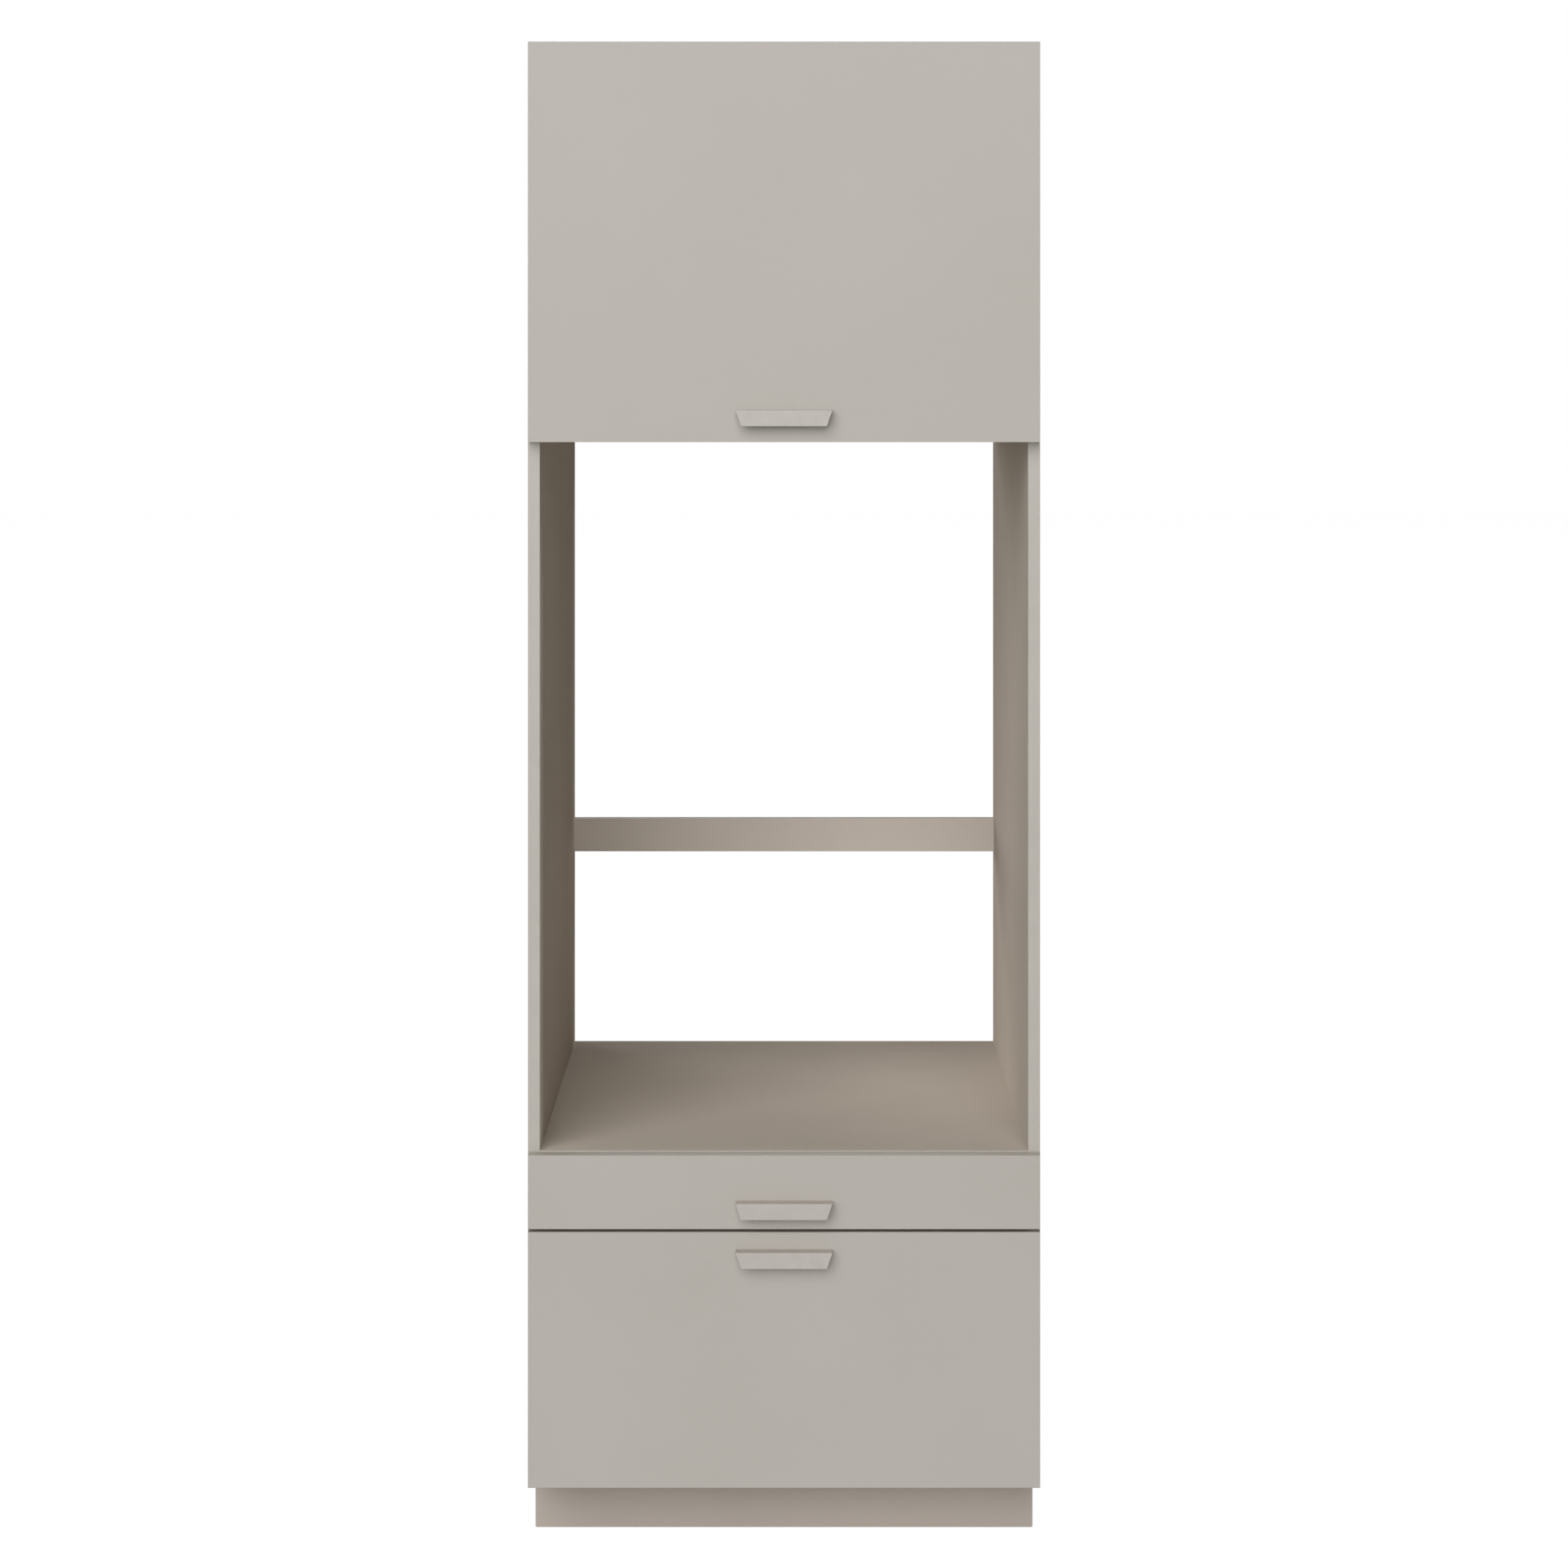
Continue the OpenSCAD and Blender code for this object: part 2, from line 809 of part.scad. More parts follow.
// Lift units
module lift_housing() {
    inner = [lift_y[0] + lift_wall, lift_y[1] - lift_wall];
    back_wall_x = inner_half - lift_back_wall;
    difference() {
        block([lift_x, inner_half], lift_y, lift_z);
        block([lift_x - cut, back_wall_x], inner, [lift_z[0] + lift_wall, lift_z[1] - lift_wall]);
        rod_x([back_wall_x - cut, lever_pivot[0], lever_pivot[1]], pivot_r + play / 5,
            lift_back_wall + 2 * cut);
        lift_screw_places()
            rod_x([back_wall_x - cut, 0, 0], screw_r + play, lift_back_wall + 2 * cut);
    }
}

module lift_housings() {
    color(zinc)
        both_sides()
            lift_housing();
}

module lift_cover() {
    difference() {
        translate([cover_x, 0, 0])
            rotate([90, 0, 90])
                linear_extrude(height = lift_wall)
                    difference() {
                        translate([lift_y[0], lift_z[0]])
                            square([lift_len, lift_h]);
                        for (corner = [[0, 0], [lift_len, 0], [0, lift_h], [lift_len, lift_h]])
                            translate([lift_y[0] + corner[0], lift_z[0] + corner[1]])
                                rotate(45)
                                    square(8, center = true);
                    }
        rod_x([cover_x - cut, lever_pivot[0], lever_pivot[1]], pivot_r + play, lift_wall + 2 * cut);
    }
}

module lift_covers() {
    color(box_grey)
        both_sides()
            lift_cover();
}

// Pivot pin of a lever, with the spring sleeve round it inside the housing
module lift_pivot() {
    rod_x([lever_x[0] - 0.5, lever_pivot[0], lever_pivot[1]], pivot_r,
        inner_half - lever_x[0] + 0.5);
    rod_x([lift_x + 0.5, lever_pivot[0], lever_pivot[1]], spring_r, lift_w - lift_back_wall - 1);
}

module lift_pivots() {
    color(zinc)
        both_sides()
            lift_pivot();
}

// A flat bar with round ends and two bores, between two points in a Y-Z plane
module pivot_bar(x, from, to, from_r, to_r, bar_w, from_bore, to_bore) {
    run = [to[0] - from[0], to[1] - from[1]];
    translate([x[0], from[0], from[1]])
        rotate([90, 0, 90])
            linear_extrude(height = x[1] - x[0])
                difference() {
                    union() {
                        circle(r = from_r);
                        translate(run)
                            circle(r = to_r);
                        rotate(atan2(run[1], run[0]))
                            translate([0, -bar_w / 2])
                                square([norm(run), bar_w]);
                    }
                    if (from_bore > 0)
                        circle(r = from_bore);
                    if (to_bore > 0)
                        translate(run)
                            circle(r = to_bore);
                }
}

module lift_lever() {
    pivot_bar(lever_x, lever_pivot, elbow, lever_hub_r, lever_end_r, lever_w,
        pivot_r + pin_fit, elbow_r + pin_fit);
}

module lift_levers() {
    color(zinc)
        both_sides()
            lift_lever();
}

// Link from the lever to the flap, with the rivet that joins it to the lever
module lift_link() {
    pivot_bar(link_x, elbow, flap_pivot, lever_end_r, link_end_r, link_w,
        0, flap_pin_r + open_pivot_play);
    rod_x([link_x[1], elbow[0], elbow[1]], elbow_r, lever_gap + lever_t + 0.5);
}

module lift_links() {
    color(zinc)
        both_sides()
            lift_link();
}

// Bracket on the flap with the pin that carries the link
module lift_bracket() {
    ear_x = [link_x[0] - lever_gap - flap_ear_t, link_x[0] - lever_gap];
    block([ear_x[0] - flap_plate_w, ear_x[1]], [front_rear_y, front_rear_y + flap_plate_t],
        [flap_pivot[1] - flap_plate_h / 2, flap_pivot[1] + flap_plate_h / 2]);
    block(ear_x, [front_rear_y, flap_pivot[0]],
        [flap_pivot[1] - flap_ear_r, flap_pivot[1] + flap_ear_r]);
    rod_x([ear_x[0], flap_pivot[0], flap_pivot[1]], flap_ear_r, flap_ear_t);
    rod_x([ear_x[1], flap_pivot[0], flap_pivot[1]], flap_pin_r, lever_gap + lever_t + 0.4);
}

module lift_brackets() {
    color(zinc)
        both_sides()
            lift_bracket();
}

// A pan-head fitting screw that is driven along +Z through a plate whose top
// lies at the origin
module plate_screw(plate) {
    rod_z([0, 0, -plate], screw_r, screw_l - 0.5);
    rod_z([0, 0, -plate - screw_head_h], screw_head_r, screw_head_h);
}

module fitting_screws() {
    color(zinc)
        both_sides() {
            for (z = [small_runner_z, large_runner_z], y = outer_screw_ys)
                translate([inner_half, y, z])
                    rotate([0, 90, 0])
                        plate_screw(sheet);
            lift_screw_places()
                translate([inner_half, 0, 0])
                    rotate([0, 90, 0])
                        plate_screw(lift_back_wall);
            hinge_screw_places()
                translate([0, 0, top_under_z])
                    plate_screw(plate_drop);
            leg_screw_places()
                translate([0, 0, leg_h])
                    plate_screw(plate_t);
            translate([bracket_x, back_face_y - bracket_leg / 2, top_under_z])
                plate_screw(bracket_t);
        }
}

// Countersunk screw that is driven along -Y, and the hole that it leaves
module cs_screw(extra) {
    rotate([90, 0, 0]) {
        cylinder(r1 = cs_head_r + extra, r2 = cs_r + extra, h = cs_head_h);
        cylinder(r = cs_r + extra, h = cs_l + extra);
    }
}

module handle_screw_places(z) {
    for (x = [-handle_pitch / 2, handle_pitch / 2])
        translate([x, front_rear_y, z])
            children();
}

// Outline of a handle from the front, wide side up
module handle_outline() {
    polygon([
        [-handle_w / 2 + handle_slope, 0], [handle_w / 2 - handle_slope, 0],
        [handle_w / 2, handle_h], [-handle_w / 2, handle_h]
    ]);
}

// Bent plate with sloping ends: a face, a top flange and two screw bosses
module handle(z) {
    plate_y = front_face_y - handle_depth;
    color(cashmere)
        difference() {
            translate([0, front_face_y, z])
                rotate([90, 0, 0])
                    linear_extrude(height = handle_depth)
                        handle_outline();
            difference() {
                block([-handle_w, handle_w], [plate_y + handle_t, front_face_y + cut],
                    [z - cut, z + handle_h - handle_t]);
                for (x = [-handle_pitch / 2, handle_pitch / 2])
                    rod_y([x, plate_y, z + handle_screw_rise], boss_r, handle_depth + 2 * cut);
            }
            handle_screw_places(z + handle_screw_rise)
                cs_screw(play / 2);
        }
}

// Front board with its screw holes
module front_board(z, h, handle_z) {
    difference() {
        block([-front_half, front_half], [front_face_y, front_rear_y], [z, z + h]);
        handle_screw_places(handle_z + handle_screw_rise)
            cs_screw(play / 2);
        children();
    }
}

module flap_panel() {
    color(cashmere)
        front_board(flap_z, flap_h, flap_handle_z)
            both_sides()
                rod_y([hinge_x, front_rear_y - cup_depth - play, cup_z], cup_d / 2 + play / 2,
                    cup_depth + cut + play);
}

module flap_handle() {
    handle(flap_handle_z);
}

module flap_screws() {
    color(zinc)
        handle_screw_places(flap_handle_z + handle_screw_rise)
            cs_screw(0);
}

// Soft pads on the back of a front that meet the carcass edges
module bumpers(zs) {
    color([0.85, 0.85, 0.84])
        both_sides()
            for (z = zs)
                rod_y([half_w - board / 2, front_rear_y, z], bumper_r, front_gap - 0.3);
}

module flap_bumpers() {
    bumpers([flap_z + 2 * bumper_inset]);
}

// Screws between the drawer box and its front, through the box front
module box_screw_places(z, h) {
    for (x = [-box_half + box_screw_inset, box_half - box_screw_inset],
            rise = [low_screw_rise, h - high_screw_drop])
        translate([x, front_rear_y + box_t, z + rise])
            children();
}

module drawer_front(z, h, handle_z, box_z, box_h) {
    color(cashmere)
        front_board(z, h, handle_z)
            box_screw_places(box_z, box_h)
                cs_screw(play / 2);
}

// Groove for the drawer bottom
module bottom_slot(box_z) {
    block([-box_half + box_t - bottom_groove, box_half - box_t + bottom_groove],
        [box_y + box_t - bottom_groove, box_end_y - box_t + bottom_groove],
        [box_z + bottom_rise - play, box_z + bottom_rise + bottom_t + play]);
}

module box_side(box_z, box_h) {
    color(box_grey)
        difference() {
            block([box_half - box_t, box_half], [box_y, box_end_y], [box_z, box_z + box_h]);
            bottom_slot(box_z);
        }
}

module box_end(y, box_z, box_h) {
    difference() {
        block([-box_half + box_t, box_half - box_t], [y, y + box_t], [box_z, box_z + box_h]);
        bottom_slot(box_z);
    }
}

module box_front(box_z, box_h) {
    color(box_grey)
        difference() {
            box_end(box_y, box_z, box_h);
            box_screw_places(box_z, box_h)
                cs_screw(play / 2);
        }
}

module box_back(box_z, box_h) {
    color(box_grey)
        box_end(box_end_y - box_t, box_z, box_h);
}

module box_bottom(box_z) {
    tongue = bottom_groove - 2 * play;
    color(box_grey)
        block([-box_half + box_t - tongue, box_half - box_t + tongue],
            [box_y + box_t - tongue, box_end_y - box_t + tongue],
            [box_z + bottom_rise, box_z + bottom_rise + bottom_t]);
}

module drawer_screws(handle_z, box_z, box_h) {
    color(zinc) {
        handle_screw_places(handle_z + handle_screw_rise)
            cs_screw(0);
        box_screw_places(box_z, box_h)
            cs_screw(0);
    }
}

// Runner members, drawn as sections whose first coordinate is the distance from
// the side panel and whose second is the height above the runner's middle
module runner_strip(z, y, l) {
    translate([inner_half, y, z])
        rotate([90, 0, 180])
            linear_extrude(height = l)
                children();
}

module outer_section() {
    half = runner_h / 2;
    translate([0, -half])
        square([sheet, runner_h]);
    for (side = [-1, 1])
        scale([1, side]) {
            translate([0, half - sheet])
                square([outer_lip, sheet]);
            translate([outer_lip - sheet, half - sheet - lip_return])
                square([sheet, lip_return + sheet]);
        }
}

module middle_section() {
    translate([middle_web, -middle_half])
        square([sheet, 2 * middle_half]);
    for (side = [-1, 1])
        scale([1, side])
            translate([middle_web, middle_half - sheet])
                square([outer_lip - 1.5, sheet]);
}

module inner_section() {
    translate([runner_w - sheet, -inner_member_half])
        square([sheet, 2 * inner_member_half]);
    for (side = [-1, 1])
        scale([1, side])
            translate([middle_web + sheet + 1, inner_member_half - sheet])
                square([runner_w - middle_web - sheet - 1, sheet]);
}

module runner_outer(z) {
    color(zinc)
        both_sides()
            difference() {
                runner_strip(z, runner_y, runner_len)
                    outer_section();
                for (y = outer_screw_ys)
                    rod_x([inner_half - sheet - cut, y, z], screw_r + play, sheet + 2 * cut);
            }
}

module runner_middle(z) {
    color(zinc)
        both_sides()
            runner_strip(z, runner_y, runner_len)
                middle_section();
}

module runner_inner(z) {
    color(zinc)
        both_sides()
            runner_strip(z, runner_y, runner_len)
                inner_section();
}

// A pair of ball cages, above and below the runner's middle
module ball_cages(z, out, height, y) {
    color([0.8, 0.68, 0.35])
        both_sides()
            for (side = [-1, 1]) {
                translate([inner_half - out, y, z + side * height]) {
                    translate([-cage_w / 2, 0, -cage_t / 2])
                        cube([cage_w, cage_len, cage_t]);
                    for (i = [0 : 4])
                        translate([0, cage_len * (i + 0.5) / 5, 0])
                            sphere(d = ball_d, $fn = 24);
                }
            }
}

module outer_cages(z) {
    ball_cages(z, outer_cage_out, outer_race, runner_y + runner_len / 4);
}

module inner_cages(z) {
    ball_cages(z, inner_cage_out, inner_race, runner_y + runner_len / 2);
}

module large_front() {
    drawer_front(large_front_z, large_front_h, large_handle_z, large_box_z, large_box_h);
}

module small_front() {
    drawer_front(small_front_z, small_front_h, small_handle_z, small_box_z, small_box_h);
}

side_left();
side_right();
top_panel();
upper_floor();
niche_floor();
bottom_panel();
rear_rail();
upper_back();
lower_back();
panel_dowels();
cam_locks();
cam_bolts();
leg_sockets();
leg_feet();
plinth_panel();
plinth_clips();
wall_brackets();
hinge_plates();
hinge_arms();
hinge_pins();
lift_housings();
lift_covers();
lift_pivots();
fitting_screws();
runner_outer(small_runner_z);  // small_runner_outer
runner_outer(large_runner_z);  // large_runner_outer
flap_panel();
flap_handle();
flap_screws();
hinge_cups();
lift_brackets();
flap_bumpers();
lift_levers();
lift_links();
small_front();
handle(small_handle_z);  // small_handle
drawer_screws(small_handle_z, small_box_z, small_box_h);  // small_screws
mirror([1, 0, 0]) box_side(small_box_z, small_box_h);  // small_side_left
box_side(small_box_z, small_box_h);  // small_side_right
box_front(small_box_z, small_box_h);  // small_box_front
box_back(small_box_z, small_box_h);  // small_back
box_bottom(small_box_z);  // small_bottom
runner_inner(small_runner_z);  // small_runner_inner
bumpers([small_front_z + small_front_h - bumper_inset]);  // small_bumpers
runner_middle(small_runner_z);  // small_runner_middle
outer_cages(small_runner_z);  // small_outer_cages
inner_cages(small_runner_z);  // small_inner_cages
large_front();
handle(large_handle_z);  // large_handle
drawer_screws(large_handle_z, large_box_z, large_box_h);  // large_screws
mirror([1, 0, 0]) box_side(large_box_z, large_box_h);  // large_side_left
box_side(large_box_z, large_box_h);  // large_side_right
box_front(large_box_z, large_box_h);  // large_box_front
box_back(large_box_z, large_box_h);  // large_back
box_bottom(large_box_z);  // large_bottom
runner_inner(large_runner_z);  // large_runner_inner
bumpers([large_front_z + large_front_h - bumper_inset]);  // large_bumpers
runner_middle(large_runner_z);  // large_runner_middle
outer_cages(large_runner_z);  // large_outer_cages
inner_cages(large_runner_z);  // large_inner_cages
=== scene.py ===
"""Looks of a tall washing machine cabinet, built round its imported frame.

The cabinet stands on the floor at Z = 0 with its fronts towards -Y. Lengths are
metres. Every place comes from the frame's own boxes, and the sizes below are
those of the small details that the frame leaves to this file.
"""

import json
import logging
import math
from collections.abc import Callable, Iterable, Iterator
from contextlib import contextmanager
from dataclasses import dataclass, replace
from enum import Enum

import bpy
from mathutils import Matrix, Vector

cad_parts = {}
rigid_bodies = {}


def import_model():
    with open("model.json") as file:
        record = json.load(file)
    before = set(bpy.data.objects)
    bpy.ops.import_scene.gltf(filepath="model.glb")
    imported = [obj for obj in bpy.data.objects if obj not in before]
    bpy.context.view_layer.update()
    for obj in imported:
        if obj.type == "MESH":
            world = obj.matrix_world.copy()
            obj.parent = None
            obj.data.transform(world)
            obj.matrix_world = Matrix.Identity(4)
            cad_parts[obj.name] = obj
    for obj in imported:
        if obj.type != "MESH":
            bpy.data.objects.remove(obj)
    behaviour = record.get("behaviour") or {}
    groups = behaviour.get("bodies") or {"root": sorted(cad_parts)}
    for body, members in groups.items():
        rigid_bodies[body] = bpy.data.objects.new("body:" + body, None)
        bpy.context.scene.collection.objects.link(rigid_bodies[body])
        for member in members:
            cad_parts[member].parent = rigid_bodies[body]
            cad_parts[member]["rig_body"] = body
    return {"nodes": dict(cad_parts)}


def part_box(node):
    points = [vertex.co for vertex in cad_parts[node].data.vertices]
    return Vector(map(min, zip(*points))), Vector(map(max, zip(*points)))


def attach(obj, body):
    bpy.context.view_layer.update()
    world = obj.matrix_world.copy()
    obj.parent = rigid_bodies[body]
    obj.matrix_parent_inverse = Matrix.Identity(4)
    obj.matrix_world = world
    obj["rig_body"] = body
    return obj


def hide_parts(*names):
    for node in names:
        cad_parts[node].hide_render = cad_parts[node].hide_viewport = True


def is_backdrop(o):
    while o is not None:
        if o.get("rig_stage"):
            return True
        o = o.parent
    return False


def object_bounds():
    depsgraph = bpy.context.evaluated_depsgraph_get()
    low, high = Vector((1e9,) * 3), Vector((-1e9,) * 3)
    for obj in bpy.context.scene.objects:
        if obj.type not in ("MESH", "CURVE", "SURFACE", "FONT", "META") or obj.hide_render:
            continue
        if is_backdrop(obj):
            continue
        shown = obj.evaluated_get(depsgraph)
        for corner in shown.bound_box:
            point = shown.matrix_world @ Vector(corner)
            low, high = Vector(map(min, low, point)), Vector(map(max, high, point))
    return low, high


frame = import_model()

log = logging.getLogger("cabinet")

Tone = tuple[float, float, float]
Tree = bpy.types.NodeTree
Socket = bpy.types.NodeSocket
Piece = bpy.types.Object
Test = Callable[[Vector, Vector], bool]

MM = 0.001
NEAR = 0.02 * MM  # points closer than this count as one
MERGE = NEAR / 10  # joins the loose triangles of a CAD node
WELD = NEAR / 20  # joins doubled points of a finished piece
LEVEL = math.radians(0.5)  # triangles that differ less in slope make one flat face
CURVE = math.radians(35.0)  # faces that differ less in slope are shaded as one curve
TOWARDS = 0.9  # least share of an axis in a normal that faces along it
SQUARE = 0.1  # greatest share of an axis in a normal that stands square to it
X, Y, Z = range(3)
AXES = (Vector((1, 0, 0)), Vector((0, 1, 0)), Vector((0, 0, 1)))
USUAL_FACTORS = (0.3, 0.7)  # range that the factor of a pattern seldom leaves
WHITE = (1.0, 1.0, 1.0, 1.0)


def srgb(tone: Tone) -> tuple[float, float, float, float]:
    """Turns a tone from 0 to 255 into a linear colour.

    Args:
        tone: Red, green and blue as they look on a screen.

    Returns:
        Red, green, blue and alpha for a shader socket.
    """
    shares = [channel / 255 for channel in tone]
    linear = [c / 12.92 if c <= 0.04045 else ((c + 0.055) / 1.055) ** 2.4 for c in shares]
    return (linear[0], linear[1], linear[2], 1.0)


def feed(tree: Tree, node: bpy.types.Node, inputs: dict[str | int, object]) -> bpy.types.Node:
    """Sets or links inputs of a shader node.

    Args:
        tree: The node tree.
        node: The node.
        inputs: By name or index, a value to set or a socket to link.

    Returns:
        The node.
    """
    for key, value in inputs.items():
        if isinstance(value, Socket):
            tree.links.new(value, node.inputs[key])
        else:
            node.inputs[key].default_value = value
    return node


def add_node(tree: Tree, kind: str, inputs: dict[str | int, object]) -> bpy.types.Node:
    """Adds a shader node of a kind and feeds its inputs."""
    return feed(tree, tree.nodes.new("ShaderNode" + kind), inputs)


def add_math(tree: Tree, operation: str, first: Socket, second: Socket | float) -> Socket:
    """Joins two factors by a Math node.

    Args:
        tree: The node tree.
        operation: Operation of the node.
        first: The first factor.
        second: The second factor, a socket or a number.

    Returns:
        The result.
    """
    node = add_node(tree, "Math", {0: first, 1: second})
    node.operation = operation
    return node.outputs["Value"]


class Pattern(Enum):
    """How the tones of a finish are spread over a surface."""

    CLOUD = "soft clouds"
    CHIPS = "pressed wood chips"
    SCREEN = "fibres with the print of a wire screen"
    GRAIN = "long wood grain"


@dataclass(frozen=True)
class Finish:
    """One surface finish and the material that shows it."""

    name: str
    tones: tuple[Tone, ...]  # colours from the darkest to the lightest, 0 to 255
    pattern: Pattern = Pattern.CLOUD  # how the tones are spread
    repeats: float = 4.0  # features of the pattern per metre
    stretch: tuple[float, float, float] = (1.0, 1.0, 1.0)  # factor on the features along X, Y and Z
    roughness: tuple[float, float] = (0.5, 0.6)  # lowest and highest roughness
    metallic: float = 0.0  # share of metal, 0 or 1
    relief: float = 0.00001  # height of the fine relief in metres
    relief_repeats: float = 900.0  # features of the relief per metre
    gloss: float = 0.5  # level of the mirror-like share, 0.5 for common plastic
    clear: float = 0.0  # share of light that passes through

    def material(self) -> bpy.types.Material:
        """Builds the material, once.

        Returns:
            The material, the same one each time.
        """
        found = bpy.data.materials.get(self.name)
        if found:
            return found
        made = bpy.data.materials.new(self.name)
        made.use_nodes = True
        tree = made.node_tree
        source = add_node(tree, "TexCoord", {})
        mapping = add_node(tree, "Mapping", {"Vector": source.outputs["Object"],
                                             "Scale": self.stretch})
        place = mapping.outputs["Vector"]
        spread = self._spread(tree, place)
        feed(tree, tree.nodes["Principled BSDF"], {
            "Metallic": self.metallic,
            "Specular IOR Level": self.gloss,
            "Transmission Weight": self.clear,
            "Base Color": self._ramp(tree, spread),
            "Roughness": self._roughness(tree, spread),
            "Normal": self._relief(tree, place, spread)})
        return made

    def _noise(self, tree: Tree, place: Socket, repeats: float, detail: float) -> Socket:
        """Adds a noise of so many features per metre and returns its factor."""
        return add_node(tree, "TexNoise", {"Vector": place, "Scale": repeats,
                                           "Detail": detail}).outputs["Fac"]

    def _spread(self, tree: Tree, place: Socket) -> Socket:
        """Adds the nodes of the pattern.

        Args:
            tree: The material's node tree.
            place: Coordinates of the pattern.

        Returns:
            A factor from 0 to 1 that picks the tone.
        """
        if self.pattern is Pattern.CHIPS:
            chips = add_node(tree, "TexVoronoi", {"Vector": place, "Scale": self.repeats})
            return add_node(tree, "RGBToBW", {"Color": chips.outputs["Color"]}).outputs["Val"]
        if self.pattern is Pattern.GRAIN:
            return add_node(tree, "TexWave", {"Vector": place, "Scale": self.repeats,
                                              "Distortion": 6.0, "Detail": 3.0}).outputs["Fac"]
        return self._noise(tree, place, self.repeats, detail=4.0)

    def _ramp(self, tree: Tree, spread: Socket) -> Socket:
        """Lays the tones over the usual range of the pattern's factor.

        Args:
            tree: The material's node tree.
            spread: The pattern's factor.

        Returns:
            The colour.
        """
        ramp = add_node(tree, "ValToRGB", {"Fac": spread})
        stops = ramp.color_ramp.elements
        while len(stops) < len(self.tones):
            stops.new(0.5)
        least, most = USUAL_FACTORS
        for place, tone in enumerate(self.tones):
            stops[place].position = least + (most - least) * place / (len(self.tones) - 1)
            stops[place].color = srgb(tone)
        return ramp.outputs["Color"]

    def _roughness(self, tree: Tree, spread: Socket) -> Socket:
        """Lets the roughness follow the pattern between its two limits."""
        return add_node(tree, "MapRange", {
            "Value": spread, "From Min": USUAL_FACTORS[0], "From Max": USUAL_FACTORS[1],
            "To Min": self.roughness[0], "To Max": self.roughness[1]}).outputs["Result"]

    def _relief(self, tree: Tree, place: Socket, spread: Socket) -> Socket:
        """Adds the fine relief of the surface.

        Args:
            tree: The material's node tree.
            place: Coordinates of the pattern.
            spread: The pattern, which lifts chips and grain.

        Returns:
            The bumped normal.
        """
        if self.pattern is Pattern.SCREEN:
            height = self._screen(tree, place)
        elif self.pattern is Pattern.CLOUD:
            height = self._noise(tree, place, self.relief_repeats, detail=2.0)
        else:
            height = spread
        return add_node(tree, "Bump", {"Strength": 1.0, "Distance": self.relief,
                                       "Height": height}).outputs["Normal"]

    def _screen(self, tree: Tree, place: Socket) -> Socket:
        """Crosses the wires of a screen, pressed into the fibres.

        Args:
            tree: The material's node tree.
            place: Coordinates of the pattern.

        Returns:
            The height.
        """
        wires = []
        for direction in ("X", "Z"):
            wave = add_node(tree, "TexWave", {"Vector": place, "Scale": self.relief_repeats,
                                              "Distortion": 0.6})
            wave.bands_direction = direction
            wires.append(wave.outputs["Fac"])
        return add_math(tree, "MULTIPLY", *wires)


LACQUER = Finish("satin_lacquer", ((185, 180, 172), (189, 184, 177)), repeats=3.0,
                 roughness=(0.44, 0.52), relief_repeats=350.0, gloss=0.35)
# The boards' cashmere film is real; its browner tint than the lacquer is painted shade, the warmer
# look that the cashmere has in shade.
MELAMINE = Finish("melamine_film", ((195, 185, 173), (200, 190, 178)), repeats=5.0,
                  relief=0.00003, relief_repeats=1100.0, gloss=0.0)
# Painted light: the rail is the boards' own film, made lighter to stand in for light that the lamps
# don't bring to the back of the niche.
RAIL_PAINTED_LIGHT = replace(MELAMINE, name="rail_painted_light", tones=((208, 199, 189), (212, 203, 193)))
PLINTH_FILM = Finish("plinth_film", ((190, 180, 170), (194, 184, 174)), repeats=5.0,
                     roughness=(0.45, 0.55), relief=0.00003, gloss=0.2)
EDGE_BAND = Finish("edge_band", ((185, 180, 172), (189, 184, 176)), repeats=30.0,
                   roughness=(0.34, 0.42), relief_repeats=700.0)
# Painted shade: the fronts' narrow edges, darker and warmer than the lacquer, as they look in the
# shade of the gaps.
FRONT_EDGE_SHADE = replace(EDGE_BAND, name="front_edge_painted_shade", tones=((173, 165, 155), (177, 169, 159)),
                     roughness=(0.42, 0.5), gloss=0.3)
HANDLE_LACQUER = Finish("handle_powder_coat", ((186, 181, 174), (192, 187, 180)), repeats=60.0,
                        roughness=(0.38, 0.46), relief=0.00002, relief_repeats=1400.0)
# Painted shade: the handle's upward faces, darker and warmer than its own powder coat, as they look
# in shade.
HANDLE_TOP_SHADE = replace(HANDLE_LACQUER, name="handle_top_painted_shade", tones=((172, 163, 155), (177, 168, 160)),
                     roughness=(0.42, 0.5), gloss=0.3)
CHIPBOARD = Finish("raw_chipboard", ((166, 134, 98), (186, 156, 118), (201, 174, 137)),
                   Pattern.CHIPS, repeats=600.0, stretch=(1.0, 1.0, 0.6),
                   roughness=(0.8, 0.95), relief=0.0001, gloss=0.1)
HARDBOARD = Finish("raw_hardboard", ((150, 114, 82), (166, 130, 96)), Pattern.SCREEN,
                   repeats=420.0, roughness=(0.75, 0.9), relief=0.00008, relief_repeats=170.0,
                   gloss=0.2)
BACK_FILM = Finish("printed_back", ((190, 179, 166), (194, 183, 170)), repeats=8.0,
                   relief=0.00002, relief_repeats=600.0, gloss=0.1)
DRAWER_FILM = Finish("drawer_film", ((205, 203, 198), (211, 209, 205)), repeats=7.0,
                     roughness=(0.45, 0.55), relief=0.00003)
BEECH = Finish("beech", ((176, 134, 88), (205, 167, 120)), Pattern.GRAIN, repeats=120.0,
               stretch=(0.08, 1.0, 1.0), roughness=(0.5, 0.65), relief=0.0001)
ZINC = Finish("zinc_plate", ((168, 172, 178), (192, 195, 199)), repeats=90.0,
              roughness=(0.3, 0.42), metallic=1.0)
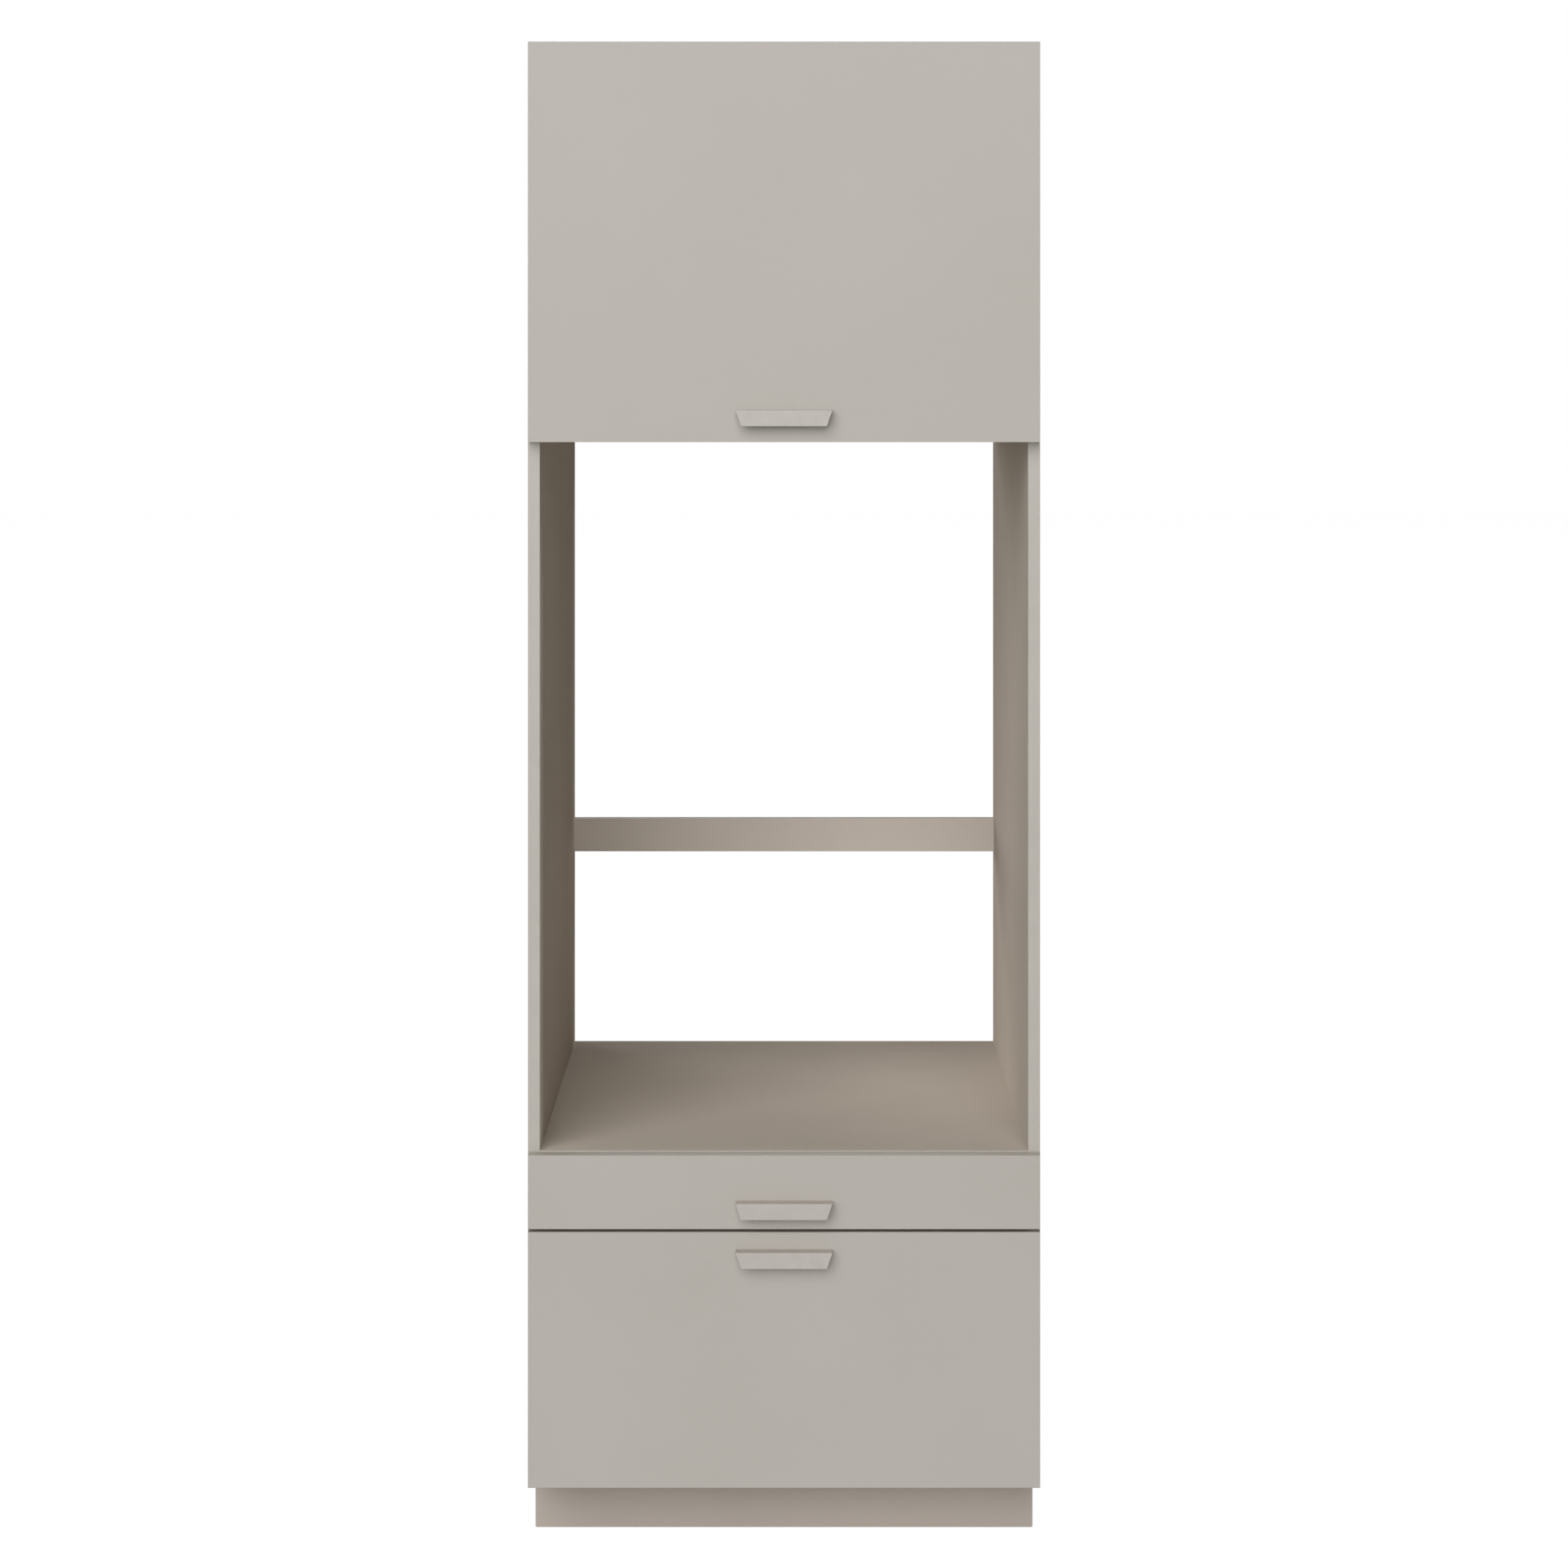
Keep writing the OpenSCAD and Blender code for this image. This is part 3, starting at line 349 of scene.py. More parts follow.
NICKEL = Finish("nickel_plate", ((190, 188, 183), (201, 199, 195)), repeats=500.0,
                stretch=(1.0, 0.2, 1.0), roughness=(0.3, 0.35), metallic=1.0,
                relief=0.000001, relief_repeats=2200.0)
RUNNER_STEEL = Finish("runner_steel", ((158, 162, 167), (190, 193, 197)), repeats=300.0,
                      stretch=(1.0, 0.03, 1.0), roughness=(0.26, 0.4), metallic=1.0,
                      relief_repeats=800.0)
BALL_STEEL = Finish("ball_steel", ((200, 202, 205), (214, 216, 219)), repeats=200.0,
                    roughness=(0.1, 0.16), metallic=1.0, relief=0.000002, relief_repeats=500.0)
BRASS = Finish("cage_brass", ((180, 150, 84), (205, 176, 108)), repeats=250.0,
               stretch=(1.0, 0.1, 1.0), roughness=(0.26, 0.36), metallic=1.0)
LEG_PLASTIC = Finish("leg_plastic", ((42, 43, 45), (52, 53, 55)), repeats=40.0,
                     roughness=(0.5, 0.62), relief=0.00004, relief_repeats=1300.0)
COVER_PLASTIC = Finish("cover_plastic", ((198, 197, 194), (205, 204, 201)), repeats=30.0,
                       roughness=(0.42, 0.52), relief=0.00003, relief_repeats=1400.0)
PAD_PLASTIC = Finish("clear_pad", ((228, 230, 230), (238, 240, 240)), repeats=150.0,
                     roughness=(0.2, 0.3), relief_repeats=500.0, clear=0.5)


def only(piece: Piece) -> None:
    """Selects one object alone and makes it active.

    Args:
        piece: The object.
    """
    if bpy.context.object and bpy.context.object.mode != "OBJECT":
        bpy.ops.object.mode_set(mode="OBJECT")
    bpy.ops.object.select_all(action="DESELECT")
    piece.select_set(True)
    bpy.context.view_layer.objects.active = piece


@contextmanager
def editing(piece: Piece, kind: str = "", wanted: Iterable[bool] = ()) -> Iterator[None]:
    """Opens one piece in edit mode and closes it at the end.

    Args:
        piece: The mesh.
        kind: EDGE or FACE to select some of them, or nothing to select all.
        wanted: For each edge or face, whether it is selected.
    """
    only(piece)
    bpy.ops.object.mode_set(mode="EDIT")
    bpy.ops.mesh.select_all(action="SELECT")
    if kind:
        bpy.ops.mesh.select_mode(type=kind)
        bpy.ops.mesh.select_all(action="DESELECT")
        bpy.ops.object.mode_set(mode="OBJECT")
        items = piece.data.edges if kind == "EDGE" else piece.data.polygons
        items.foreach_set("select", wanted)
        bpy.ops.object.mode_set(mode="EDIT")
    yield
    bpy.ops.object.mode_set(mode="OBJECT")


def named(name: str) -> Piece:
    """Names the new primitive and applies its place, turn and size.

    Args:
        name: Name of the piece.

    Returns:
        The piece, which was the active object.
    """
    piece = bpy.context.object
    only(piece)
    piece.name = name
    bpy.ops.object.transform_apply(location=True, rotation=True, scale=True)
    return piece


def add_block(name: str, low: Vector, high: Vector) -> Piece:
    """Adds a block between two corners."""
    bpy.ops.mesh.primitive_cube_add(size=1.0, location=(low + high) / 2, scale=high - low)
    return named(name)


def add_rod(name: str, start: Vector, end: Vector, radius: float, sides: int = 32) -> Piece:
    """Adds a round rod.

    Args:
        name: Name of the rod.
        start: Middle of its first end.
        end: Middle of its other end.
        radius: Its radius.
        sides: Number of sides.

    Returns:
        The new object.
    """
    turn = (end - start).to_track_quat("Z", "Y").to_euler()
    bpy.ops.mesh.primitive_cone_add(
        vertices=sides, radius1=radius, radius2=radius, depth=(end - start).length,
        location=(start + end) / 2, rotation=turn)
    return named(name)


def spin_profile(name: str, profile: list[tuple[float, float]], steps: int) -> Piece:
    """Spins a profile of radius and height round the Z axis.

    Args:
        name: Name of the piece.
        profile: Points from the lower pole to the upper pole.
        steps: Steps of the full turn.

    Returns:
        The closed piece.
    """
    bpy.ops.mesh.primitive_plane_add(size=1.0)
    made = named(name)
    with editing(made):
        bpy.ops.mesh.delete(type="VERT")
    points = [(radius, 0.0, height) for radius, height in profile]
    made.data.from_pydata(points, [(i, i + 1) for i in range(len(points) - 1)], [])
    with editing(made):
        bpy.ops.mesh.spin(steps=steps, angle=math.tau, center=(0, 0, 0), axis=(0, 0, 1))
        bpy.ops.mesh.select_all(action="SELECT")
        bpy.ops.mesh.remove_doubles(threshold=NEAR)
        bpy.ops.mesh.normals_make_consistent(inside=False)
    return made


def round_edges(piece: Piece, test: Test, width: float, segments: int = 3,
                clamp: bool = True) -> None:
    """Rounds the edges that a test accepts.

    Args:
        piece: The mesh.
        test: Takes the two ends of an edge.
        width: Distance from the old edge to where the rounding starts.
        segments: Steps of the rounding.
        clamp: Whether short neighbours limit the width.
    """
    points = [vertex.co for vertex in piece.data.vertices]
    wanted = [test(*(points[end] for end in edge.vertices)) for edge in piece.data.edges]
    if any(wanted):
        with editing(piece, "EDGE", wanted):
            bpy.ops.mesh.bevel(offset=width, segments=segments, affect="EDGES",
                               clamp_overlap=clamp)


def inset_faces(piece: Piece, test: Test, border: float, depth: float) -> None:
    """Sinks the faces that a test accepts inside a border.

    Args:
        piece: The mesh.
        test: Takes the middle and the normal of a face.
        border: Width of the border that stays.
        depth: Distance that the face sinks.
    """
    wanted = [test(face.center, face.normal) for face in piece.data.polygons]
    if any(wanted):
        with editing(piece, "FACE", wanted):
            bpy.ops.mesh.inset(thickness=border, depth=-depth, use_individual=True)


def score(piece: Piece, point: Vector, normal: Vector) -> None:
    """Divides the faces of a piece where a plane crosses them."""
    with editing(piece):
        bpy.ops.mesh.bisect(plane_co=point, plane_no=normal)


def apply_modifier(piece: Piece, kind: str, **settings: object) -> None:
    """Adds a modifier and applies it.

    Args:
        piece: The mesh.
        kind: Type of the modifier.
        settings: Its settings by name.
    """
    only(piece)
    added = piece.modifiers.new(kind.lower(), kind)
    for key, value in settings.items():
        setattr(added, key, value)
    bpy.ops.object.modifier_apply(modifier=added.name)


def combine(piece: Piece, tool: Piece, operation: str = "DIFFERENCE") -> None:
    """Cuts a tool out of a piece, or adds it, and throws the tool away."""
    apply_modifier(piece, "BOOLEAN", operation=operation, solver="EXACT", object=tool)
    bpy.data.objects.remove(tool)


def soften(piece: Piece, width: float, angle: float = 50.0, segments: int = 2) -> None:
    """Breaks every sharp edge of a small metal or plastic piece."""
    apply_modifier(piece, "BEVEL", width=width, segments=segments, limit_method="ANGLE",
                   angle_limit=math.radians(angle), use_clamp_overlap=True)


def join(name: str, pieces: list[Piece]) -> Piece:
    """Joins pieces into one object.

    Args:
        name: Name of the object.
        pieces: The pieces.

    Returns:
        The object.
    """
    only(pieces[0])
    for piece in pieces[1:]:
        piece.select_set(True)
    bpy.ops.object.join()
    pieces[0].name = name
    return pieces[0]


def linked(name: str, data: bpy.types.ID) -> Piece:
    """Puts a new object with the given data into the scene.

    Args:
        name: Name of the object.
        data: Its mesh, camera or light.

    Returns:
        The object.
    """
    made = bpy.data.objects.new(name, data)
    bpy.context.scene.collection.objects.link(made)
    return made


def copy_to(template: Piece, place: Matrix) -> Piece:
    """Copies a template and moves the copy into place.

    Args:
        template: The piece to copy.
        place: Where the copy goes.

    Returns:
        The copy, with a mesh of its own.
    """
    made = linked(template.name, template.data.copy())
    made.data.transform(place)
    return made


def merged_copy(node: str, name: str) -> Piece:
    """Copies a CAD node and merges its loose triangles into clean faces.

    Args:
        node: Name of the CAD node.
        name: Name of the copy.

    Returns:
        The copy, whose flat faces are whole again.
    """
    made = linked(name, frame["nodes"][node].data.copy())
    made.data.materials.clear()
    only(made)
    bpy.ops.mesh.customdata_custom_splitnormals_clear()
    with editing(made):
        bpy.ops.mesh.remove_doubles(threshold=MERGE)
        bpy.ops.mesh.dissolve_limited(angle_limit=LEVEL)
    return made


def at(point: Vector, axis: int, level: float) -> Vector:
    """Moves a point to a level on one axis.

    Args:
        point: The point, which stays as it is.
        axis: Index of the axis.
        level: The new coordinate on it.

    Returns:
        The new point.
    """
    moved = point.copy()
    moved[axis] = level
    return moved


@dataclass(frozen=True)
class Solid:
    """Box of one solid of a CAD node, and the way that its wider end faces."""

    low: Vector
    high: Vector
    outward: Vector

    @property
    def middle(self) -> Vector:
        """Middle of the solid's box."""
        return (self.low + self.high) / 2

    @property
    def length(self) -> float:
        """Length along the solid's own axis."""
        return abs((self.high - self.low).dot(self.outward))

    def radius(self, axis: int) -> float:
        """Half of the solid's size along an axis."""
        return (self.high - self.low)[axis] / 2

    def seat(self) -> Matrix:
        """Place of a template whose +Z end is the solid's wider end."""
        turn = self.outward.to_track_quat("Z", "Y").to_matrix().to_4x4()
        return Matrix.Translation(self.middle + self.outward * self.length / 2) @ turn


def solids(node: str, axis: int | None = None) -> list[Solid]:
    """Measures each solid of a CAD node.

    Args:
        node: Name of the CAD node.
        axis: Index of the solids' own axis, or None for the longest side.

    Returns:
        One Solid for each loose solid, in a fixed order.
    """
    copy = merged_copy(node, "measured")
    with editing(copy):
        bpy.ops.mesh.separate(type="LOOSE")
    found = []
    for part in set(bpy.context.selected_objects) | {copy}:
        points = [vertex.co for vertex in part.data.vertices]
        low, high = (Vector([limit(p[i] for p in points) for i in range(3)])
                     for limit in (min, max))
        size = high - low
        along = max(range(3), key=lambda i: size[i]) if axis is None else axis
        found.append(Solid(low, high, AXES[along] * wider_end(points, low, high, along)))
        bpy.data.objects.remove(part)
    return sorted(found, key=lambda solid: tuple(round(value, 5) for value in solid.middle))


def wider_end(points: list[Vector], low: Vector, high: Vector, along: int) -> float:
    """Tells which end of a solid is the wider one.

    Args:
        points: The solid's points.
        low: Lowest corner of its box.
        high: Highest corner of its box.
        along: Index of its axis.

    Returns:
        1.0 if the wider end is the higher one, else -1.0.
    """
    middle = (low + high) / 2
    reach = {1.0: 0.0, -1.0: 0.0}
    for point in points:
        offset = point - middle
        side = math.copysign(1.0, offset[along])
        reach[side] = max(reach[side], at(offset, along, 0.0).length)
    return 1.0 if reach[1.0] >= reach[-1.0] else -1.0


class Side(Enum):
    """Faces of a board's box: their axis, and 0 at its lowest or 1 at its highest corner."""

    LEFT = (X, 0)
    RIGHT = (X, 1)
    FRONT = (Y, 0)
    REAR = (Y, 1)
    UNDER = (Z, 0)
    TOP = (Z, 1)


ENDS = (Side.LEFT, Side.RIGHT)


def arrises(node: str, faces: Iterable[Side], butted: Iterable[Side] = ()) -> Test:
    """Makes a test for the long edges of a board.

    Args:
        node: The CAD node whose box is the board's.
        faces: Faces whose edges are wanted.
        butted: Faces that meet another board and stay sharp.

    Returns:
        A test that takes the two ends of an edge.
    """
    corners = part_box(node)
    wanted, kept = set(faces), set(butted)
    levels = {}
    for side in Side:
        axis, corner = side.value
        levels[side] = (axis, corners[corner][axis])

    def test(start: Vector, end: Vector) -> bool:
        """Accepts an edge between two faces of the box, one of them wanted."""
        on = {side for side, (axis, level) in levels.items()
              if max(abs(start[axis] - level), abs(end[axis] - level)) < NEAR}
        return len(on) >= 2 and bool(on & wanted) and not on & kept

    return test


def rim(level: float) -> Test:
    """Makes a test for the edges on or behind a level of Y."""
    return lambda start, end: start.y > level - NEAR and end.y > level - NEAR


def paint(piece: Piece, finish: Finish, test: Test) -> None:
    """Gives some faces of a piece another finish.

    Args:
        piece: The mesh.
        finish: The finish.
        test: Takes the middle and the normal of a face.
    """
    piece.data.materials.append(finish.material())
    index = len(piece.data.materials) - 1
    for face in piece.data.polygons:
        if test(face.center, face.normal):
            face.material_index = index


def hand_over(piece: Piece, finish: Finish, node: str) -> None:
    """Cleans, shades and dresses a piece and puts it in the place of its CAD node.

    Args:
        piece: The finished mesh.
        finish: Its main finish.
        node: The CAD node that it stands for.
    """
    shown = frame["nodes"][node]
    piece.data.materials.clear()
    piece.data.materials.append(finish.material())
    for face in piece.data.polygons:
        face.material_index = 0
    with editing(piece):
        bpy.ops.mesh.remove_doubles(threshold=WELD)
        bpy.ops.mesh.dissolve_degenerate(threshold=WELD)
    bpy.ops.object.shade_smooth_by_angle(angle=CURVE)
    apply_modifier(piece, "WEIGHTED_NORMAL", keep_sharp=True, weight=100)
    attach(piece, shown["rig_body"])
    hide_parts(node)
    log.info("%s rides on %s, %d faces", piece.name, shown["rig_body"], len(piece.data.polygons))


def keep(node: str, finish: Finish) -> None:
    """Keeps a CAD node's own shape and gives it a finish.

    Args:
        node: Name of the CAD node.
        finish: Its finish.
    """
    shown = frame["nodes"][node]
    shown.material_slots[0].material = finish.material()
    log.info("%s keeps its shape, in %s", node, finish.name)


def refine(node: str, name: str, finish: Finish, edge: float, angle: float = 50.0,
           segments: int = 2) -> None:
    """Breaks the sharp edges of a small CAD node and dresses it.

    Args:
        node: Name of the CAD node.
        name: Name of the piece.
        finish: Its finish.
        edge: Rounding of its edges.
        angle: Least angle of an edge that is rounded, in degrees.
        segments: Steps of the rounding.
    """
    made = merged_copy(node, name)
    soften(made, edge, angle, segments)
    hand_over(made, finish, node)


@dataclass
class Carcass:
    """The boards, backs and joinery that carry everything else."""

    arris: float = 0.5 * MM  # rounding of a banded edge
    band: float = 1.0 * MM  # thickness of the edge band
    plinth_arris: float = 2.0 * MM  # rounding of the plinth's corners
    dowel_chamfer: float = 0.8 * MM  # chamfer at the ends of a dowel
    flutes: int = 24
    flute_rib: float = 0.15 * MM  # half of the rib between two flutes
    flute_depth: float = 0.2 * MM
    cam_edge: float = 0.3 * MM  # chamfer of the cam locks' edges
    cam_angle: float = 60.0  # least angle of an edge that gets it, in degrees

    def build(self) -> None:
        """Builds every piece of the carcass."""
        for node in ("side_left", "side_right"):
            self.board(node, tuple(Side), ())
        for node in ("top_panel", "upper_floor", "niche_floor", "bottom_panel"):
            self.board(node, (Side.FRONT, Side.REAR), ENDS)
        self.rail()
        self.plinth()
        for node in ("upper_back", "lower_back"):
            self.back(node)
        self.dowels()
        refine("cam_locks", "cam_lock_set", ZINC, self.cam_edge, self.cam_angle, segments=1)
        keep("cam_bolts", ZINC)

    def board(self, node: str, faces: Iterable[Side], butted: Iterable[Side]) -> None:
        """Makes one board with a banded front edge and a raw rear edge.

        Args:
            node: The CAD node of the board.
            faces: Faces whose edges are rounded.
            butted: Faces that meet another board.
        """
        low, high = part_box(node)
        made = merged_copy(node, node + "_board")
        round_edges(made, arrises(node, faces, butted), self.arris)
        joint = low.y + self.band
        score(made, Vector((0, joint, 0)), AXES[Y])
        hand_over(made, MELAMINE, node)
        paint(made, EDGE_BAND, lambda middle, normal: middle.y < joint)
        paint(made, CHIPBOARD,
              lambda middle, normal: normal.y > TOWARDS and high.y - middle.y < NEAR)

    def rail(self) -> None:
        """Makes the rail across the back of the niche, banded all round."""
        made = merged_copy("rear_rail", "rail_board")
        long_sides = (Side.FRONT, Side.REAR, Side.TOP, Side.UNDER)
        round_edges(made, arrises("rear_rail", long_sides, ENDS), self.arris)
        # The rail's film is a lighter copy of the boards' film: painted light.
        hand_over(made, RAIL_PAINTED_LIGHT, "rear_rail")
        paint(made, EDGE_BAND, lambda middle, normal: abs(normal.z) > TOWARDS)

    def plinth(self) -> None:
        """Makes the plinth board with a rounded outline and banded edges."""
        low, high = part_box("plinth_panel")
        made = add_block("plinth_board", low, high)
        faces = (Side.FRONT, Side.REAR)
        round_edges(made, arrises("plinth_panel", ENDS, faces), self.plinth_arris, segments=4)
        round_edges(made, arrises("plinth_panel", faces), self.arris)
        score(made, Vector((0, 0, low.z + self.band)), AXES[Z])
        hand_over(made, PLINTH_FILM, "plinth_panel")
        paint(made, EDGE_BAND, lambda middle, normal: middle.z < low.z + self.band)

    def back(self, node: str) -> None:
        """Makes a hardboard back, printed inside and raw outside.

        Args:
            node: The CAD node of the back.
        """
        made = merged_copy(node, node + "_sheet")
        hand_over(made, BACK_FILM, node)
        paint(made, HARDBOARD, lambda middle, normal: normal.y > -TOWARDS)

    def dowels(self) -> None:
        """Makes the fluted dowels between the boards."""
        sizes = solids("panel_dowels")
        end = Vector((0, 0, -sizes[0].length))
        template = add_rod("dowel", Vector(), end, sizes[0].radius(Z), sides=self.flutes)
        round_edges(template, lambda a, b: a.z == b.z and a.z in (0.0, end.z),
                    self.dowel_chamfer, segments=1)
        inset_faces(template, lambda middle, normal: abs(normal.z) < SQUARE, self.flute_rib,
                    self.flute_depth)
        pieces = [copy_to(template, solid.seat()) for solid in sizes]
        bpy.data.objects.remove(template)
        hand_over(join("fluted_dowels", pieces), BEECH, "panel_dowels")


@dataclass
class Screws:
    """Screws with a cross recess, modelled once and copied to every place."""

    node: str  # the CAD node that holds the screws
    head_radius: float = 4.2 * MM
    head_height: float = 1.4 * MM
    shank_radius: float = 2.4 * MM
    sunk: bool = False  # whether the head is a countersunk one
    recess: float = 2.6 * MM  # length of an arm of the cross recess
    recess_width: float = 0.9 * MM
    recess_depth: float = 0.9 * MM
    pitch: float = 1.6 * MM
    core: float = 0.72  # radius at the foot of the thread, as a share of the shank's
    tip: float = 0.25  # radius of the blunt tip, as a share of the shank's
    tip_height: float = 0.4 * MM  # height of the tip's cone
    edge: float = 0.1 * MM  # rim of a countersunk head
    # Points of a round head, as shares of its radius and height.
    dome: tuple[tuple[float, float], ...] = (
        (1.0, -1.0), (1.0, -0.65), (0.95, -0.35), (0.85, -0.12), (0.7, 0.0), (0.0, 0.0))

    def build(self) -> None:
        """Puts a screw at each place where the node has one."""
        templates: dict[int, Piece] = {}
        pieces = []
        for solid in solids(self.node):
            size = round(solid.length / MM * 10)  # in tenths of a millimetre
            if size not in templates:
                templates[size] = self.template(solid.length)
            pieces.append(copy_to(templates[size], solid.seat()))
        for template in templates.values():
            bpy.data.objects.remove(template)
        hand_over(join(self.node + "_set", pieces), ZINC, self.node)

    def template(self, length: float) -> Piece:
        """Spins one screw whose head ends at the origin and faces +Z.

        Args:
            length: Whole length of the screw.

        Returns:
            The model, with the cross cut into its head.
        """
        collar = 2 * self.shank_radius - length
        profile = [(0.0, -length), (self.tip * self.shank_radius, self.tip_height - length)]
        for turn in range(int((-self.head_height - collar) / self.pitch)):
            base = collar + turn * self.pitch
            profile.append((self.shank_radius, base))
            profile.append((self.core * self.shank_radius, base + self.pitch / 2))
        profile.append((self.shank_radius, -self.head_height))
        made = spin_profile("screw", profile + self.head(), steps=16)
        for turn in (0.0, math.pi / 2):
            combine(made, self.slot(turn))
        return made

    def head(self) -> list[tuple[float, float]]:
        """Profile of the head, a countersunk or a low round one."""
        radius, edge = self.head_radius, self.edge
        if self.sunk:
            return [(radius, -edge), (radius - edge, 0.0), (0.0, 0.0)]
        return [(radius * out, self.head_height * up) for out, up in self.dome]

    def slot(self, turn: float) -> Piece:
        """Makes one arm of the cross recess as a cutting tool.

        Args:
            turn: Its direction round Z, in radians.

        Returns:
            The tool.
        """
        reach = Vector((self.recess, self.recess_width / 2, self.recess_depth))
        tool = add_block("recess", -reach, reach)
        tool.data.transform(Matrix.Rotation(turn, 4, "Z"))
        return tool


@dataclass
class Front:
    """A front with its handle, screws and pads."""

    label: str  # which front it is: flap, small or large
    panel: str  # the CAD node of the front board
    face_arris: float = 1.0 * MM  # rounding of the outer face's edges
    rear_arris: float = 0.5 * MM  # rounding of the inner face's edges
    bend: float = 1.2 * MM  # outer bend of the handle plate
    plate: float = 3.0 * MM  # thickness of the handle plate
    plate_arris: float = 0.4 * MM  # rounding of the handle plate's edges
    ends: float = 0.4  # share of the handle's width beyond which an edge is at its ends
    top_slope: float = 0.35  # least share of Z in the normal of the handle's top, whose faces get painted shade
    dome: float = 1.2 * MM  # rounding of a pad

    def build(self) -> None:
        """Builds the front and what is fixed to it."""
        self.board()
        self.handle()
        Screws(self.label + "_screws", head_radius=4.0 * MM, head_height=2.2 * MM,
               shank_radius=2.0 * MM, sunk=True, recess=2.2 * MM).build()
        self.pads()

    def board(self) -> None:
        """Makes the lacquered board with its rounded edges."""
        made = merged_copy(self.panel, self.label + "_front_board")
        round_edges(made, arrises(self.panel, (Side.FRONT,)), self.face_arris, segments=4)
        round_edges(made, arrises(self.panel, (Side.REAR,)), self.rear_arris, segments=2)
        hand_over(made, LACQUER, self.panel)
        # The narrow edges of the front get a darker, warmer tone: painted shade.
        paint(made, FRONT_EDGE_SHADE, lambda middle, normal: abs(normal.y) < SQUARE)

    def handle(self) -> None:
        """Makes the bent handle plate with softened edges."""
        node = self.label + "_handle"
        low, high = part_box(node)
        made = merged_copy(node, self.label + "_pull")
        round_edges(made, arrises(node, (Side.FRONT,), ENDS + (Side.UNDER,)), self.bend, segments=5)
        middle = (low + high) / 2

        def outline(start: Vector, end: Vector) -> bool:
            """Accepts the sharp edges of the plate and not those of the bosses."""
            ends = all(abs(p.x - middle.x) > self.ends * (high.x - low.x) for p in (start, end))
            lower = all(abs(p.z - low.z) < NEAR for p in (start, end))
            return (ends or lower) and (end - start).length > self.plate / 2

        round_edges(made, outline, self.plate_arris, segments=2)
        for vertex in made.data.vertices:
            vertex.co.y = max(vertex.co.y, low.y)
        hand_over(made, HANDLE_LACQUER, node)
        # The upward faces of the handle get a darker, warmer tone: painted shade.
        paint(made, HANDLE_TOP_SHADE, lambda middle, normal: normal.z > self.top_slope)

    def pads(self) -> None:
        """Makes the clear domed pads on the inner face."""
        node = self.label + "_bumpers"
        pieces = []
        for solid in solids(node, Y):
            ends = (at(solid.middle, Y, level) for level in (solid.low.y, solid.high.y))
            pad = add_rod("pad", *ends, solid.radius(X))
            round_edges(pad, rim(solid.high.y), self.dome, segments=4)
            pieces.append(pad)
        hand_over(join(self.label + "_pads", pieces), PAD_PLASTIC, node)


